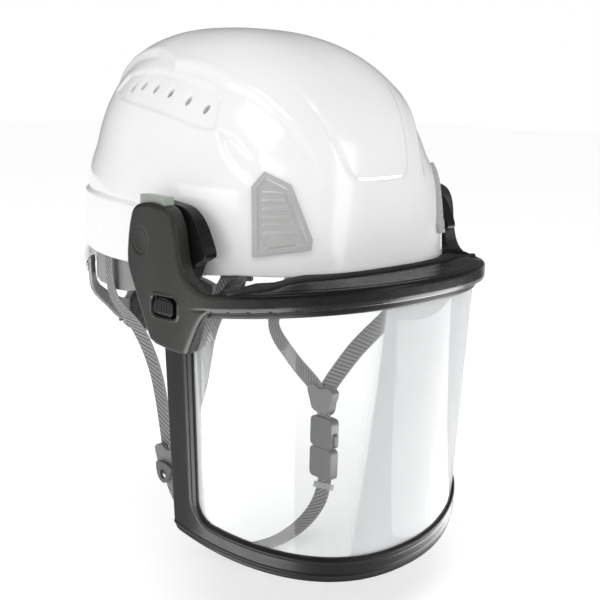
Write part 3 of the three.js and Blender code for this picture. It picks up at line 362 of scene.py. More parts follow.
def moulded(node, mat, voxel=0.45, smooth=5, name=None, body=None, sl=None, sharp=None, edit=None):
    """A moulded piece: the node's solid with its edges rounded over by a fine remesh."""
    src = frame["nodes"][node] if isinstance(frame["nodes"][node], bpy.types.Object) else bpy.data.objects[node]
    me = src.data.copy()
    o = bpy.data.objects.new(name or node + "_form", me)
    bpy.context.scene.collection.objects.link(o)
    me.materials.clear()
    me.materials.append(mat)
    bm = bmesh.new()
    bm.from_mesh(me)
    bmesh.ops.remove_doubles(bm, verts=bm.verts, dist=1e-6)
    bm.to_mesh(me)
    bm.free()
    r = o.modifiers.new("fine", "REMESH")
    r.mode = "VOXEL"
    r.voxel_size = voxel * MM
    r.use_smooth_shade = True
    s = o.modifiers.new("round", "SMOOTH")
    s.factor = 0.5
    s.iterations = smooth
    apply_mods(o)
    o.data.materials.clear()
    o.data.materials.append(mat)
    o.data.shade_smooth()
    if edit:
        co = np.zeros(len(o.data.vertices) * 3, np.float32)
        o.data.vertices.foreach_get("co", co)
        co = co.reshape(-1, 3).astype(float) / MM
        co = edit(co)
        o.data.vertices.foreach_set("co", (co * MM).astype(np.float32).ravel())
        o.data.update()
    if sharp:
        o.data.set_sharp_from_angle(angle=sharp * RAD)
    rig.ride(o, body or BODY_OF[node])
    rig.replaces(o, node)
    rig.slot(o, sl or "black_plastic")
    return o


# ------------------------------------------------------------------ materials
def new_mat(name):
    m = bpy.data.materials.new(name)
    m.use_nodes = True
    nt = m.node_tree
    nt.nodes.clear()
    out = nt.nodes.new("ShaderNodeOutputMaterial")
    b = nt.nodes.new("ShaderNodeBsdfPrincipled")
    nt.links.new(b.outputs[0], out.inputs[0])
    return m, nt, b, out


def noise(nt, scale, detail=3.0, rough=0.5, vec=None, dim="3D"):
    n = nt.nodes.new("ShaderNodeTexNoise")
    n.inputs["Scale"].default_value = scale
    n.inputs["Detail"].default_value = detail
    n.inputs["Roughness"].default_value = rough
    if vec is not None:
        nt.links.new(vec, n.inputs["Vector"])
    return n


def ramp(nt, fac, stops):
    r = nt.nodes.new("ShaderNodeValToRGB")
    while len(r.color_ramp.elements) > 1:
        r.color_ramp.elements.remove(r.color_ramp.elements[-1])
    for i, (p, c) in enumerate(stops):
        e = r.color_ramp.elements[0] if i == 0 else r.color_ramp.elements.new(p)
        e.position = p
        e.color = (*c, 1) if hasattr(c, "__len__") else (c, c, c, 1)
    nt.links.new(fac, r.inputs[0])
    return r


def maprange(nt, val, a, b, c, d):
    n = nt.nodes.new("ShaderNodeMapRange")
    nt.links.new(val, n.inputs["Value"])
    for k, v in zip(("From Min", "From Max", "To Min", "To Max"), (a, b, c, d)):
        n.inputs[k].default_value = v
    return n.outputs["Result"]


def bump(nt, height, strength, dist, prev=None):
    n = nt.nodes.new("ShaderNodeBump")
    n.inputs["Strength"].default_value = strength
    n.inputs["Distance"].default_value = dist
    nt.links.new(height, n.inputs["Height"])
    if prev is not None:
        nt.links.new(prev, n.inputs["Normal"])
    return n.outputs["Normal"]


def objvec(nt):
    return nt.nodes.new("ShaderNodeTexCoord").outputs["Object"]


def plastic(name, col, var, rough, rvar, grain=2200, gstr=0.12, wave=0.0, coat=0.0, coat_rough=0.1, spec=0.5, scuff=0.25):
    """Moulded plastic: base colour with slight drift, spark-eroded grain, handling marks in the gloss."""
    m, nt, b, out = new_mat(name)
    v = objvec(nt)
    n1 = noise(nt, 38, 4, 0.55, v)
    c0 = tuple(max(0, c * (1 - var)) for c in col)
    c1 = tuple(min(1, c * (1 + var)) for c in col)
    nt.links.new(ramp(nt, n1.outputs[0], [(0.3, c0), (0.7, c1)]).outputs[0], b.inputs["Base Color"])
    n2 = noise(nt, 130, 6, 0.65, v)
    n3 = noise(nt, 14, 2, 0.5, v)
    mix = nt.nodes.new("ShaderNodeMath")
    mix.operation = "MULTIPLY_ADD"
    nt.links.new(n3.outputs[0], mix.inputs[0])
    mix.inputs[1].default_value = scuff
    nt.links.new(n2.outputs[0], mix.inputs[2])
    nt.links.new(maprange(nt, mix.outputs[0], 0.35, 0.95, rough - rvar, rough + rvar), b.inputs["Roughness"])
    n4 = noise(nt, grain, 2, 0.6, v)
    nb = bump(nt, n4.outputs[0], gstr, 0.0001)
    if wave:
        n5 = noise(nt, 55, 1, 0.4, v)
        nb = bump(nt, n5.outputs[0], wave, 0.0005, nb)
    nt.links.new(nb, b.inputs["Normal"])
    b.inputs["Specular IOR Level"].default_value = spec
    b.inputs["IOR"].default_value = 1.49
    if coat:
        b.inputs["Coat Weight"].default_value = coat
        b.inputs["Coat Roughness"].default_value = coat_rough
    return m


M = {}
M["shell"] = plastic("shell_abs_white", (0.82, 0.82, 0.817), 0.008, 0.2, 0.05, grain=900, gstr=0.02, wave=0.035, coat=0.35, coat_rough=0.06, spec=0.5)
M["black"] = plastic("black_satin", (0.0075, 0.0075, 0.0073), 0.25, 0.36, 0.07, grain=1800, gstr=0.10, spec=0.2)
M["gloss"] = plastic("black_gloss", (0.006, 0.006, 0.0058), 0.2, 0.27, 0.05, grain=1500, gstr=0.035, wave=0.02, spec=0.22)
nt = M["gloss"].node_tree  # painted light: the base colour is darkest on the brow band, painted shade, and lighter on the side plates with a painted highlight toward their front edge
b = [n for n in nt.nodes if n.type == "BSDF_PRINCIPLED"][0]
sx = nt.nodes.new("ShaderNodeSeparateXYZ")
nt.links.new(objvec(nt), sx.inputs[0])
painted_light_y = nt.nodes.new("ShaderNodeMath")
painted_light_y.operation = "MULTIPLY_ADD"
nt.links.new(noise(nt, 26, 3, 0.5, objvec(nt)).outputs[0], painted_light_y.inputs[0])
painted_light_y.inputs[1].default_value = 0.012
nt.links.new(sx.outputs[1], painted_light_y.inputs[2])
f = maprange(nt, painted_light_y.outputs[0], -0.19, 0.03, 0.0, 1.0)
# the ramp over y paints light and shade: painted shade on the brow band, a painted highlight near the side plates'
# front edge
nt.links.new(ramp(nt, f, [(0.0, (0.014, 0.014, 0.0135)), (0.1, (0.008, 0.008, 0.0078)), (0.24, (0.004, 0.004, 0.0039)), (0.31, (0.01, 0.01, 0.0095)), (0.4, (0.028, 0.028, 0.0255)), (0.47, (0.034, 0.034, 0.031)), (0.55, (0.027, 0.027, 0.0245)), (0.68, (0.017, 0.017, 0.0157)), (1.0, (0.012, 0.012, 0.0111))]).outputs[0], b.inputs["Base Color"])
M["clip"] = plastic("clip_grey", (0.4, 0.4, 0.396), 0.035, 0.42, 0.06, grain=1900, gstr=0.1)
M["grey"] = plastic("grey_plastic", (0.17, 0.17, 0.168), 0.06, 0.44, 0.07, grain=1900, gstr=0.12)
M["dark"] = plastic("dark_grey_plastic", (0.085, 0.085, 0.083), 0.08, 0.42, 0.07, grain=1900, gstr=0.12)
M["band"] = plastic("band_grey_plastic", (0.26, 0.26, 0.257), 0.06, 0.44, 0.07, grain=1900, gstr=0.12)
M["lock"] = plastic("lock_grey", (0.30, 0.33, 0.29), 0.04, 0.38, 0.06, grain=1900, gstr=0.1)
M["gasket"] = plastic("gasket_rubber", (0.022, 0.022, 0.022), 0.15, 0.72, 0.08, grain=1300, gstr=0.22, wave=0.05, spec=0.3)


def steel_mat():
    m, nt, b, out = new_mat("steel")
    v = objvec(nt)
    n = noise(nt, 60, 5, 0.6, v)
    nt.links.new(ramp(nt, n.outputs[0], [(0.3, (0.48, 0.48, 0.49)), (0.7, (0.62, 0.62, 0.63))]).outputs[0], b.inputs["Base Color"])
    b.inputs["Metallic"].default_value = 1.0
    n2 = noise(nt, 420, 4, 0.7, v)
    nt.links.new(maprange(nt, n2.outputs[0], 0.3, 0.7, 0.24, 0.38), b.inputs["Roughness"])
    nt.links.new(bump(nt, n2.outputs[0], 0.08, 0.0001), b.inputs["Normal"])
    return m


M["steel"] = steel_mat()


def foam_mat():
    """Knitted face cloth over foam: a fine two-way rib with sunken pits, painted shade darkening the pits in the base
    colour.
    """
    m, nt, b, out = new_mat("foam_cloth")
    v = objvec(nt)
    vo = nt.nodes.new("ShaderNodeTexVoronoi")
    vo.inputs["Scale"].default_value = 950
    vo.inputs["Randomness"].default_value = 0.35
    nt.links.new(v, vo.inputs["Vector"])
    n = noise(nt, 240, 5, 0.6, v)
    n2 = noise(nt, 22, 3, 0.5, v)
    pit = maprange(nt, vo.outputs["Distance"], 0.1, 0.75, 0.0, 1.0)
    mx = nt.nodes.new("ShaderNodeMath")
    mx.operation = "MULTIPLY_ADD"
    nt.links.new(n.outputs[0], mx.inputs[0])
    mx.inputs[1].default_value = 0.5
    nt.links.new(pit, mx.inputs[2])
    mx2 = nt.nodes.new("ShaderNodeMath")
    mx2.operation = "MULTIPLY_ADD"
    nt.links.new(n2.outputs[0], mx2.inputs[0])
    mx2.inputs[1].default_value = 0.4
    nt.links.new(mx.outputs[0], mx2.inputs[2])
    # the colour darkens where the bump sinks: painted shade in the pits and hollows, over random tone from the coarse
    # noise
    nt.links.new(ramp(nt, mx2.outputs[0], [(0.2, (0.055, 0.055, 0.056)), (0.7, (0.03, 0.03, 0.031)), (1.0, (0.012, 0.012, 0.012))]).outputs[0], b.inputs["Base Color"])
    b.inputs["Roughness"].default_value = 0.92
    b.inputs["Sheen Weight"].default_value = 0.25
    inv = maprange(nt, mx.outputs[0], 0.0, 1.4, 1.0, 0.0)
    nt.links.new(bump(nt, inv, 0.7, 0.0005), b.inputs["Normal"])
    return m


M["foam"] = foam_mat()


def web_mat(name, base, dark, light):
    """Woven webbing: slanted cords across the width with fine threads along them and a raised selvedge.
    The weave map holds millimetres, u along the strap and v across it."""
    m, nt, b, out = new_mat(name)
    uv = nt.nodes.new("ShaderNodeUVMap")
    uv.uv_map = "weave"
    sep = nt.nodes.new("ShaderNodeSeparateXYZ")
    nt.links.new(uv.outputs[0], sep.inputs[0])

    def math_(op, a, bb, c=None):
        n = nt.nodes.new("ShaderNodeMath")
        n.operation = op
        for i, x in enumerate((a, bb, c)):
            if x is None:
                continue
            if isinstance(x, (int, float)):
                n.inputs[i].default_value = x
            else:
                nt.links.new(x, n.inputs[i])
        return n.outputs[0]

    u, v = sep.outputs[0], sep.outputs[1]
    wob = noise(nt, 0.7, 2, 0.5, uv.outputs[0]).outputs[0]
    d = math_("MULTIPLY_ADD", v, 0.62, u)
    d = math_("MULTIPLY_ADD", wob, 0.25, d)
    rib = math_("SINE", math_("MULTIPLY", d, 2 * math.pi / 3.9), 0.0)
    rib = maprange(nt, rib, -1, 1, 0, 1)
    e = math_("MULTIPLY_ADD", v, -1.35, u)
    thr = maprange(nt, math_("SINE", math_("MULTIPLY", e, 2 * math.pi / 0.62), 0.0), -1, 1, 0, 1)
    av = math_("ABSOLUTE", v, 0.0)
    sel = maprange(nt, av, 6.3, 6.9, 0, 1)
    sthr = maprange(nt, math_("SINE", math_("MULTIPLY", u, 2 * math.pi / 0.9), 0.0), -1, 1, 0, 1)
    body = math_("MULTIPLY_ADD", thr, 0.28, rib)
    selh = math_("MULTIPLY_ADD", sthr, 0.45, 0.55)
    mixn = nt.nodes.new("ShaderNodeMix")
    nt.links.new(sel, mixn.inputs[0])
    nt.links.new(body, mixn.inputs[2])
    nt.links.new(selh, mixn.inputs[3])
    h = mixn.outputs[0]
    fuzz = noise(nt, 3.5, 5, 0.7, uv.outputs[0]).outputs[0]
    # the base colour follows the weave height: painted shade in the grooves, a painted highlight on the cord crests
    # and selvedge, over random tone from the fuzz noise
    col = math_("MULTIPLY_ADD", fuzz, 0.45, h)
    nt.links.new(ramp(nt, col, [(0.1, dark), (0.75, base), (1.35 / 1.5, light)]).outputs[0], b.inputs["Base Color"])
    b.inputs["Roughness"].default_value = 0.78
    b.inputs["Sheen Weight"].default_value = 0.2
    nb = bump(nt, h, 0.75, 0.00035)
    nb = bump(nt, fuzz, 0.25, 0.0001, nb)
    nt.links.new(nb, b.inputs["Normal"])
    return m


M["web"] = web_mat("webbing_grey", (0.10, 0.10, 0.0985), (0.026, 0.026, 0.0255), (0.27, 0.27, 0.266))


def lens_mat():
    """Clear polycarbonate: light goes straight through, with a Fresnel gloss and faint wiping marks."""
    m, nt, b, out = new_mat("clear_lens")
    v = objvec(nt)
    tr = nt.nodes.new("ShaderNodeBsdfTransparent")
    nt.links.new(ramp(nt, noise(nt, 6, 2, 0.5, v).outputs[0], [(0.2, (0.965, 0.97, 0.972)), (0.8, (0.975, 0.98, 0.98))]).outputs[0], tr.inputs[0])
    b.inputs["Base Color"].default_value = (0.93, 0.94, 0.945, 1)
    nt.links.new(ramp(nt, noise(nt, 30, 3, 0.5, v).outputs[0], [(0.3, (0.93, 0.94, 0.945)), (0.7, (0.97, 0.975, 0.98))]).outputs[0], b.inputs["Base Color"])
    n2 = noise(nt, 9, 2, 0.5, v)
    nt.links.new(maprange(nt, n2.outputs[0], 0.3, 0.8, 0.012, 0.022), b.inputs["Roughness"])
    b.inputs["IOR"].default_value = 1.58
    b.inputs["Specular IOR Level"].default_value = 1.0
    fr = nt.nodes.new("ShaderNodeFresnel")
    fr.inputs["IOR"].default_value = 1.5
    f = maprange(nt, fr.outputs[0], 0.04, 1.0, 0.055, 1.0)
    mix = nt.nodes.new("ShaderNodeMixShader")
    nt.links.new(f, mix.inputs[0])
    nt.links.new(tr.outputs[0], mix.inputs[1])
    nt.links.new(b.outputs[0], mix.inputs[2])
    nt.links.new(mix.outputs[0], out.inputs[0])
    return m


M["lens"] = lens_mat()

# ------------------------------------------------------------------ which body each node rides on
BODY_OF = {}
for _b, _row in (frame["bodies"].items() if isinstance(frame["bodies"], dict) else []):
    for _n in (_row if isinstance(_row, (list, tuple)) else _row.get("nodes", [])):
        BODY_OF[_n] = _b
for _n in frame["nodes"]:
    if _n not in BODY_OF:
        BODY_OF[_n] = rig.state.node_body.get(_n)


def put(o, body, sl, *nodes):
    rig.ride(o, body)
    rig.slot(o, sl)
    if nodes:
        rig.replaces(o, *nodes)
    return o


# ------------------------------------------------------------------ camera
T = Vector((29.44, -27.60, -45.49))
back = Vector((-0.66832, -0.71286, 0.21254)).normalized()
r0 = Vector((0.72953, -0.68395, 0.0)).normalized()
u0 = back.cross(r0)
rho = 1.388 * RAD
rx = (math.cos(rho) * r0 + math.sin(rho) * u0).normalized()
uy = back.cross(rx).normalized()
cam_data = bpy.data.cameras.new("camera")
cam_data.sensor_width = 36
cam_data.lens = 60.206
cam_data.clip_start, cam_data.clip_end = 0.02, 60
cam = bpy.data.objects.new("camera", cam_data)
bpy.context.scene.collection.objects.link(cam)
C = (T + back * 778) * MM
cam.matrix_world = Matrix(((rx.x, uy.x, back.x, C.x), (rx.y, uy.y, back.y, C.y), (rx.z, uy.z, back.z, C.z), (0, 0, 0, 1)))
bpy.context.scene.camera = cam

# ------------------------------------------------------------------ shell
SH = dict(af=142.89, ar=137.61, bx=114.81, h=157.54, mf=2.98, mr=1.85, nf=2.46, nr=2.58, nz=2.66, yo=12.85)
CREST = [[-145, 40], [-128, 48], [-120, 52.5], [-112, 57], [-98, 65], [-70, 74.5], [-14, 77.5], [20, 67], [41, 64], [80, 56], [120, 44]]
VENTS = [[89.2, 26.8, 116.4], [89.5, 12.8, 118.1], [90.6, -3.2, 116.4], [91.6, -21.4, 113.8], [92.1, -42.2, 109.3], [90.9, -60, 104.6]]


def surf(th, z):
    c, s = np.cos(th), np.sin(th)
    m = np.where(c > 0, SH["mf"], SH["mr"])
    a = np.where(c > 0, SH["af"], SH["ar"])
    r = ((np.abs(c) / a) ** m + (np.abs(s) / SH["bx"]) ** m) ** (-1 / m)
    x, y = r * s, -r * c
    w = 0.5 + 0.5 * c
    nh = SH["nf"] * w + SH["nr"] * (1 - w)
    zz = np.maximum(z, 0)
    sA = np.minimum(1, (zz / SH["h"]) ** (SH["nz"] / 2))
    R = np.maximum(0, 1 - sA * sA) ** (1 / nh)
    return np.stack([x * R, y * R + SH["yo"] * zz / SH["h"], z + 0 * th], -1)


def normal_at(th, z):
    z0 = np.clip(z, 0.5, SH["h"] - 0.8)
    a = surf(th + 0.004, z0) - surf(th - 0.004, z0)
    b = surf(th, z0 + 0.4) - surf(th, z0 - 0.4)
    n = np.cross(a, b)
    n /= np.maximum(np.linalg.norm(n, axis=-1, keepdims=True), 1e-9)
    p = surf(th, z0)
    dot = n[..., 0] * p[..., 0] + n[..., 1] * p[..., 1] + n[..., 2] * np.maximum(0, z - 60)
    return n * np.where(dot < 0, -1, 1)[..., None]


def rim_z(th):
    a = np.abs(th) / RAD
    return -3 * ss(40, 60, a) - 25 * ss(126, 152, a)


def flare(th, z):
    a = np.abs(th) / RAD
    return 10 * ss(118, 150, a) * np.maximum(0, (35 - z) / 63) ** 1.6


SKIRT = [[-140, 12], [-112, 11], [-100, 8], [-90, 9], [-70, 17], [-50, 30], [-34, 36], [-5, 37.4], [36, 39], [150, 40]]
CHANNEL = [[46, 124], [26, 127.2], [3, 128], [-28, 124], [-60, 116.6], [-69, 109], [-74, 92], [-70, 88.5], [-35, 96.6], [6, 103], [40, 107], [60, 112]]
SCOOP = [[-75, 91], [-88, 87], [-103, 74], [-110, 62], [-107, 55], [-96, 64], [-84, 76]]


def shell_outer(th, z, extra=0.0):
    p, n, a = surf(th, z), normal_at(th, z), np.abs(th) / RAD
    x, y, zz = np.abs(p[..., 0]), p[..., 1], p[..., 2]
    d = np.zeros(th.shape) + extra
    edge = x - tab(CREST, y)
    d -= 3.5 * ss(0, 5, edge) * ss(50, 76, z)
    d -= 0.5 * np.exp(-((edge + 1.6) / 1.7) ** 2) * ss(62, 84, z) * -0.6
    gz = tab(SKIRT, y)
    fade = ss(44, 56, a)
    d += 2.3 * fade * (1 - ss(gz - 1.3, gz + 1.1, z))
    d -= 0.45 * fade * np.exp(-((z - gz - 1.5) / 0.8) ** 2)
    # raised tab on the brow
    side_ok = ss(0.25, 0.5, np.cos(th))
    hw = 27 + 0.30 * (z - 60)
    q = rmax(x - hw, 59.0 + 0.0012 * x * x - z, 7.0)
    d += 1.5 * ss(1.0, -1.0, q) * (1 - ss(96, 124, z)) * side_ok
    d -= 0.35 * np.exp(-((q - 1.4) / 0.9) ** 2) * (1 - ss(90, 112, z)) * side_ok
    # sunken channel that the vents sit in
    ch = poly_sdf(y, zz, CHANNEL)
    side = ss(60, 74, x)
    d -= 1.6 * ss(1.6, -2.2, ch) * side * ss(88, 92, z)
    # scooped facet at the channel's front end
    sc = poly_sdf(y, zz, SCOOP)
    d -= (1.5 + 0.10 * np.clip(y + 100, 0, 30)) * ss(1.2, -3.5, sc) * ss(60, 72, x)
    for vx, vy, vz in VENTS:
        rr = np.sqrt(((y - vy) / 3.4) ** 2 + ((zz - vz) / 5.2) ** 2)
        d -= 0.4 * np.exp(-(rr ** 3)) * side
    p = p + n * d[..., None]
    f = flare(th, z)
    h = p * [1, 1, 0]
    h /= np.maximum(np.linalg.norm(h, axis=-1, keepdims=True), 1e-9)
    return p + h * f[..., None]


def shell_inner(th, z, extra=0.0, lift=2.8):
    p, n = surf(th, z), normal_at(th, z)
    p = p - n * (3.2 + lift * ss(45, 80, z) + extra)[..., None]
    f = flare(th, z)
    h = p * [1, 1, 0]
    h /= np.maximum(np.linalg.norm(h, axis=-1, keepdims=True), 1e-9)
    return p + h * f[..., None]


NT_ = 560
th = -math.pi + 2 * math.pi * np.arange(NT_) / NT_
q = np.linspace(0, 1, 250)
zs_hi = np.concatenate([np.linspace(3, 126, 176), 157.54 * np.sin(np.linspace(math.asin((126 / 157.54) ** 1.33), math.pi / 2 * 0.994, 70)[1:]) ** (1 / 1.33)])
rows = []
rz = rim_z(th)
for k in (0.0, 0.12, 0.3, 0.5, 0.75):
    zz = lerp(rz, 3.0, k) if k else rz + 0.9
    rows.append(shell_outer(th, zz))
for z in zs_hi:
    rows.append(shell_outer(th, np.full(NT_, z)))
irows = []
zi = zs_hi[::4]
for z in zi[::-1]:
    irows.append(shell_inner(th, np.full(NT_, z), lift=4.0))
irows.append(shell_inner(th, lerp(rz, 3.0, 0.5)))
irows.append(shell_inner(th, rz + 0.9))
o0, i0 = rows[0], irows[-1]
lip = []
for k in range(1, 6):
    a = math.pi * k / 6
    mid, half = (o0 + i0) / 2, (i0 - o0) / 2
    lip.append(mid - half * math.cos(a) - np.array([0, 0, 0.9]) * math.sin(a))
allrows = irows + lip[::-1] + rows
V_ = np.vstack(allrows + [np.array([[0, SH["yo"], SH["h"] - 7.2]]), np.array([[0, SH["yo"], SH["h"]]])])
R_ = len(allrows)
ii = np.arange(NT_)
jj = (ii + 1) % NT_
F_ = []
for k in range(R_ - 1):
    a, b = k * NT_, (k + 1) * NT_
    F_.append(np.stack([a + ii, a + jj, b + jj, b + ii], 1))
F_ = np.vstack(F_)
pi_, po_ = R_ * NT_, R_ * NT_ + 1
from mathutils.bvhtree import BVHTree

bvh = BVHTree.FromPolygons(V_.tolist(), F_.tolist())
n_in, n_lip = len(irows), len(lip)
kill = np.zeros((R_ - 1, NT_), bool)
extra_v, extra_f = [], []
KV = 36


def zip_rings(A, B, angA, angB):
    """Triangles between two closed rings, both running by rising angle."""
    A, B = list(A), list(B)
    angA, angB = np.unwrap(angA), np.unwrap(angB)
    if angA[-1] < angA[0]:
        A, angA = A[::-1], -angA[::-1] * -1
        angA = np.unwrap(angA)
    off = round((angA[0] - angB[0]) / (2 * math.pi)) * 2 * math.pi
    angB = angB + off
    k = int(np.argmin(np.abs(((angB - angA[0] + math.pi) % (2 * math.pi)) - math.pi)))
    B, angB = B[k:] + B[:k], np.r_[angB[k:], angB[:k] + 2 * math.pi]
    angB = angB + round((angA[0] - angB[0]) / (2 * math.pi)) * 2 * math.pi
    A, B = A + [A[0]], B + [B[0]]
    angA, angB = np.r_[angA, angA[0] + 2 * math.pi], np.r_[angB, angB[0] + 2 * math.pi]
    i = j = 0
    out = []
    while i < len(A) - 1 or j < len(B) - 1:
        if j == len(B) - 1 or (i < len(A) - 1 and angA[i + 1] <= angB[j + 1]):
            out.append((A[i], A[i + 1], B[j]))
            i += 1
        else:
            out.append((A[i], B[j + 1], B[j]))
            j += 1
    return out


# vent slots: each opening is let into both skins of the dome and its wall joins them
for sg in (1, -1):
    for vx, vy, vz in VENTS:
        c = np.array([sg * vx, vy, vz])
        d = np.array([sg * vx, vy * 0.25, vz * 0.75])
        d /= np.linalg.norm(d)
        zc = np.array([0, 0, 1.0]) - d * d[2]
        zc /= np.linalg.norm(zc)
        yc = np.cross(d, zc) * sg
        e1 = zc * math.cos(0.30) + yc * math.sin(0.30)
        e2 = np.cross(d, e1)
        rings = []
        for side_ in (1, -1):
            pts = []
            for k in range(KV):
                a = 2 * math.pi * k / KV
                o_ = c + e1 * 3.6 * math.sin(a) + e2 * 2.05 * math.cos(a)
                hit = bvh.ray_cast(Vector(o_ + d * 12), Vector(-d))[0] if side_ > 0 else bvh.ray_cast(Vector(o_ - d * 16), Vector(d))[0]
                pts.append(np.array(hit))
            base = len(V_) + sum(len(x) for x in extra_v)
            extra_v.append(np.array(pts))
            ids = list(range(base, base + KV))
            rings.append(ids)
            r0_, r1_ = (n_in + n_lip, R_) if side_ > 0 else (0, n_in)
            P = V_[r0_ * NT_:r1_ * NT_].reshape(-1, NT_, 3)
            cen = np.mean(pts, 0)
            dist = np.linalg.norm(P - cen, axis=2)
            k0, i0_ = np.unravel_index(np.argmin(dist), dist.shape)
            ka = kb = k0
            while abs((P[ka, i0_] - cen) @ e1) < 4.5:
                ka -= 1
            while abs((P[kb, i0_] - cen) @ e1) < 4.5:
                kb += 1
            ia = ib = i0_
            while np.linalg.norm(P[k0, ia % NT_] - cen) < 3.6:
                ia -= 1
            while np.linalg.norm(P[k0, ib % NT_] - cen) < 3.6:
                ib += 1
            for k in range(ka, kb):
                for i in range(ia, ib):
                    kill[r0_ + k, i % NT_] = True
            loop_ = [(ka, i) for i in range(ia, ib)] + [(k, ib) for k in range(ka, kb)] + [(kb, i) for i in range(ib, ia, -1)] + [(k, ia) for k in range(kb, ka, -1)]
            lid = [(r0_ + k) * NT_ + i % NT_ for k, i in loop_]
            q_ = V_[lid] - cen
            angA = np.unwrap(np.arctan2(q_ @ e1, q_ @ e2))
            if angA[-1] < angA[0]:
                lid, angA = lid[::-1], angA[::-1]
            r_ = np.array(pts) - cen
            angB = np.unwrap(np.arctan2(r_ @ e1, r_ @ e2))
            extra_f += zip_rings(lid, ids, angA, angB)
        for k in range(KV):
            k2 = (k + 1) % KV
            extra_f.append((rings[0][k], rings[0][k2], rings[1][k2]))
            extra_f.append((rings[0][k], rings[1][k2], rings[1][k]))
keep = F_[~kill.ravel()]
fans = [(int(j), int(i), pi_) for i, j in zip(ii, jj)] + [(int((R_ - 1) * NT_ + i), int((R_ - 1) * NT_ + j), po_) for i, j in zip(ii, jj)]
shell = mesh_obj("shell_dome", np.vstack([V_] + extra_v), keep.tolist() + fans + [tuple(int(x) for x in f) for f in extra_f], [M["shell"]])
bm = bmesh.new()
bm.from_mesh(shell.data)
bmesh.ops.delete(bm, geom=[v for v in bm.verts if not v.link_faces], context="VERTS")
bmesh.ops.recalc_face_normals(bm, faces=bm.faces)
print("shell", len(bm.verts), "open edges", sum(1 for e in bm.edges if not e.is_manifold))
bm.to_mesh(shell.data)
bm.free()
fix_normals(shell)
shell.data.shade_smooth()
shell.data.set_sharp_from_angle(angle=42 * RAD)
put(shell, BODY_OF["shell"], "shell", "shell")

# ------------------------------------------------------------------ visor curves
BAND = dict(w=137.02, d=114.86, y0=-65.03, e=0.92, top=-10.69, slope=0.08, height=12.15)
LENS = dict(w=126, d=108.5, y0=-65.03, e=0.92, taper=0.05, lean=2.1, sweep=8, zTop=-20, zBot=-190, thick=1.2)


def band_top(y):
    return BAND["top"] + BAND["slope"] * (BAND["y0"] - y)


def half_path(w, d, y0, e, yback, n=1600):
    """Plan curve from the middle of the front round to the side and straight back."""
    t = np.linspace(math.pi / 2, 0, n)
    x, y = w * np.abs(np.cos(t)) ** e, y0 - d * np.abs(np.sin(t)) ** e
    x[0] = 0
    if yback is not None:
        yb = np.arange(y0 + 0.5, yback, 0.5)
        x, y = np.r_[x, np.full(len(yb), w)], np.r_[y, yb]
    s = np.r_[0, np.cumsum(np.hypot(np.diff(x), np.diff(y)))]
    g = np.linspace(0, s[-1], 900)
    X, Y = np.interp(g, s, x), np.interp(g, s, y)
    tx, ty = np.gradient(X, g), np.gradient(Y, g)
    k = np.ones(9) / 9
    tx, ty = (np.convolve(np.pad(v, 4, mode="edge"), k, "valid") for v in (tx, ty))
    L = np.hypot(tx, ty)
    nx, ny = -(-ty / L), -(tx / L)
    return g, X, Y, nx, ny


gB, XB, YB, NXB, NYB = half_path(BAND["w"], BAND["d"], BAND["y0"], BAND["e"], -37.0)
LMAX = gB[-1]


def sB(y):
    return np.interp(y, YB, gB)


def band_map(p):
    """(s, z, u) to millimetres: s along the band, u inward."""
    s, z, u = p[:, 0], p[:, 1], p[:, 2]
    A = np.abs(s)
    sg = np.where(s < 0, -1, 1)
    nx = np.interp(A, gB, NXB) * ss(0, 3, A)
    ny = np.interp(A, gB, NYB)
    L = np.hypot(nx, ny)
    x = np.interp(A, gB, XB) - nx / L * u
    y = np.interp(A, gB, YB) - ny / L * u
    return np.stack([sg * x, y, z], 1)


PLATE_HI = [[-113.2, -6.84], [-106, -5.4], [-99.8, -2.2], [-96, 2.6], [-93.5, 9], [-91.8, 16], [-91.2, 21], [-90.3, 27], [-88.6, 33], [-86, 37.6], [-82.5, 41.2], [-77, 43.6], [-67.6, 44.8], [-59, 44.2], [-51.3, 42.2], [-46.7, 38.4], [-43.6, 30], [-41.8, 21.3], [-40.6, 12]]
PLATE_LO = [[-113.2, -18.99], [-109, -23.4], [-106, -29.3], [-101, -41.4], [-99.4, -46], [-97, -47.6], [-88, -46.8], [-66.5, -44.3], [-62, -37], [-55.6, -25.4], [-47, -10], [-42.4, -1.4], [-40.6, 4]]
yy = np.linspace(-179.8, -114, 26)
outline = [(-60, band_top(-179.9))] + [(float(sB(y)), float(band_top(y))) for y in yy]
outline += [(float(sB(y)), z) for y, z in PLATE_HI]
lo_pts = [(float(sB(y)), z) for y, z in PLATE_LO]
outline += lo_pts[::-1]
outline += [(float(sB(y)), float(band_top(y)) - BAND["height"]) for y in yy[::-1]] + [(-60, band_top(-179.9) - BAND["height"])]


def round_poly(pts, it=2):
    p = np.array(pts, float)
    for _ in range(it):
        a, b = p, np.roll(p, -1, 0)
        p = np.stack([a * 0.78 + b * 0.22, a * 0.22 + b * 0.78], 1).reshape(-1, 2)
    return p


outline = round_poly(outline, 1)
INNER = np.array([[122.6, -95], [122.7, -104], [122.8, -112], [122.4, -118], [121.3, -124], [117, -128], [110, -131.5], [93, -137.5], [70, -144.5], [48, -149.4], [24, -151.3], [0, -151.8]])
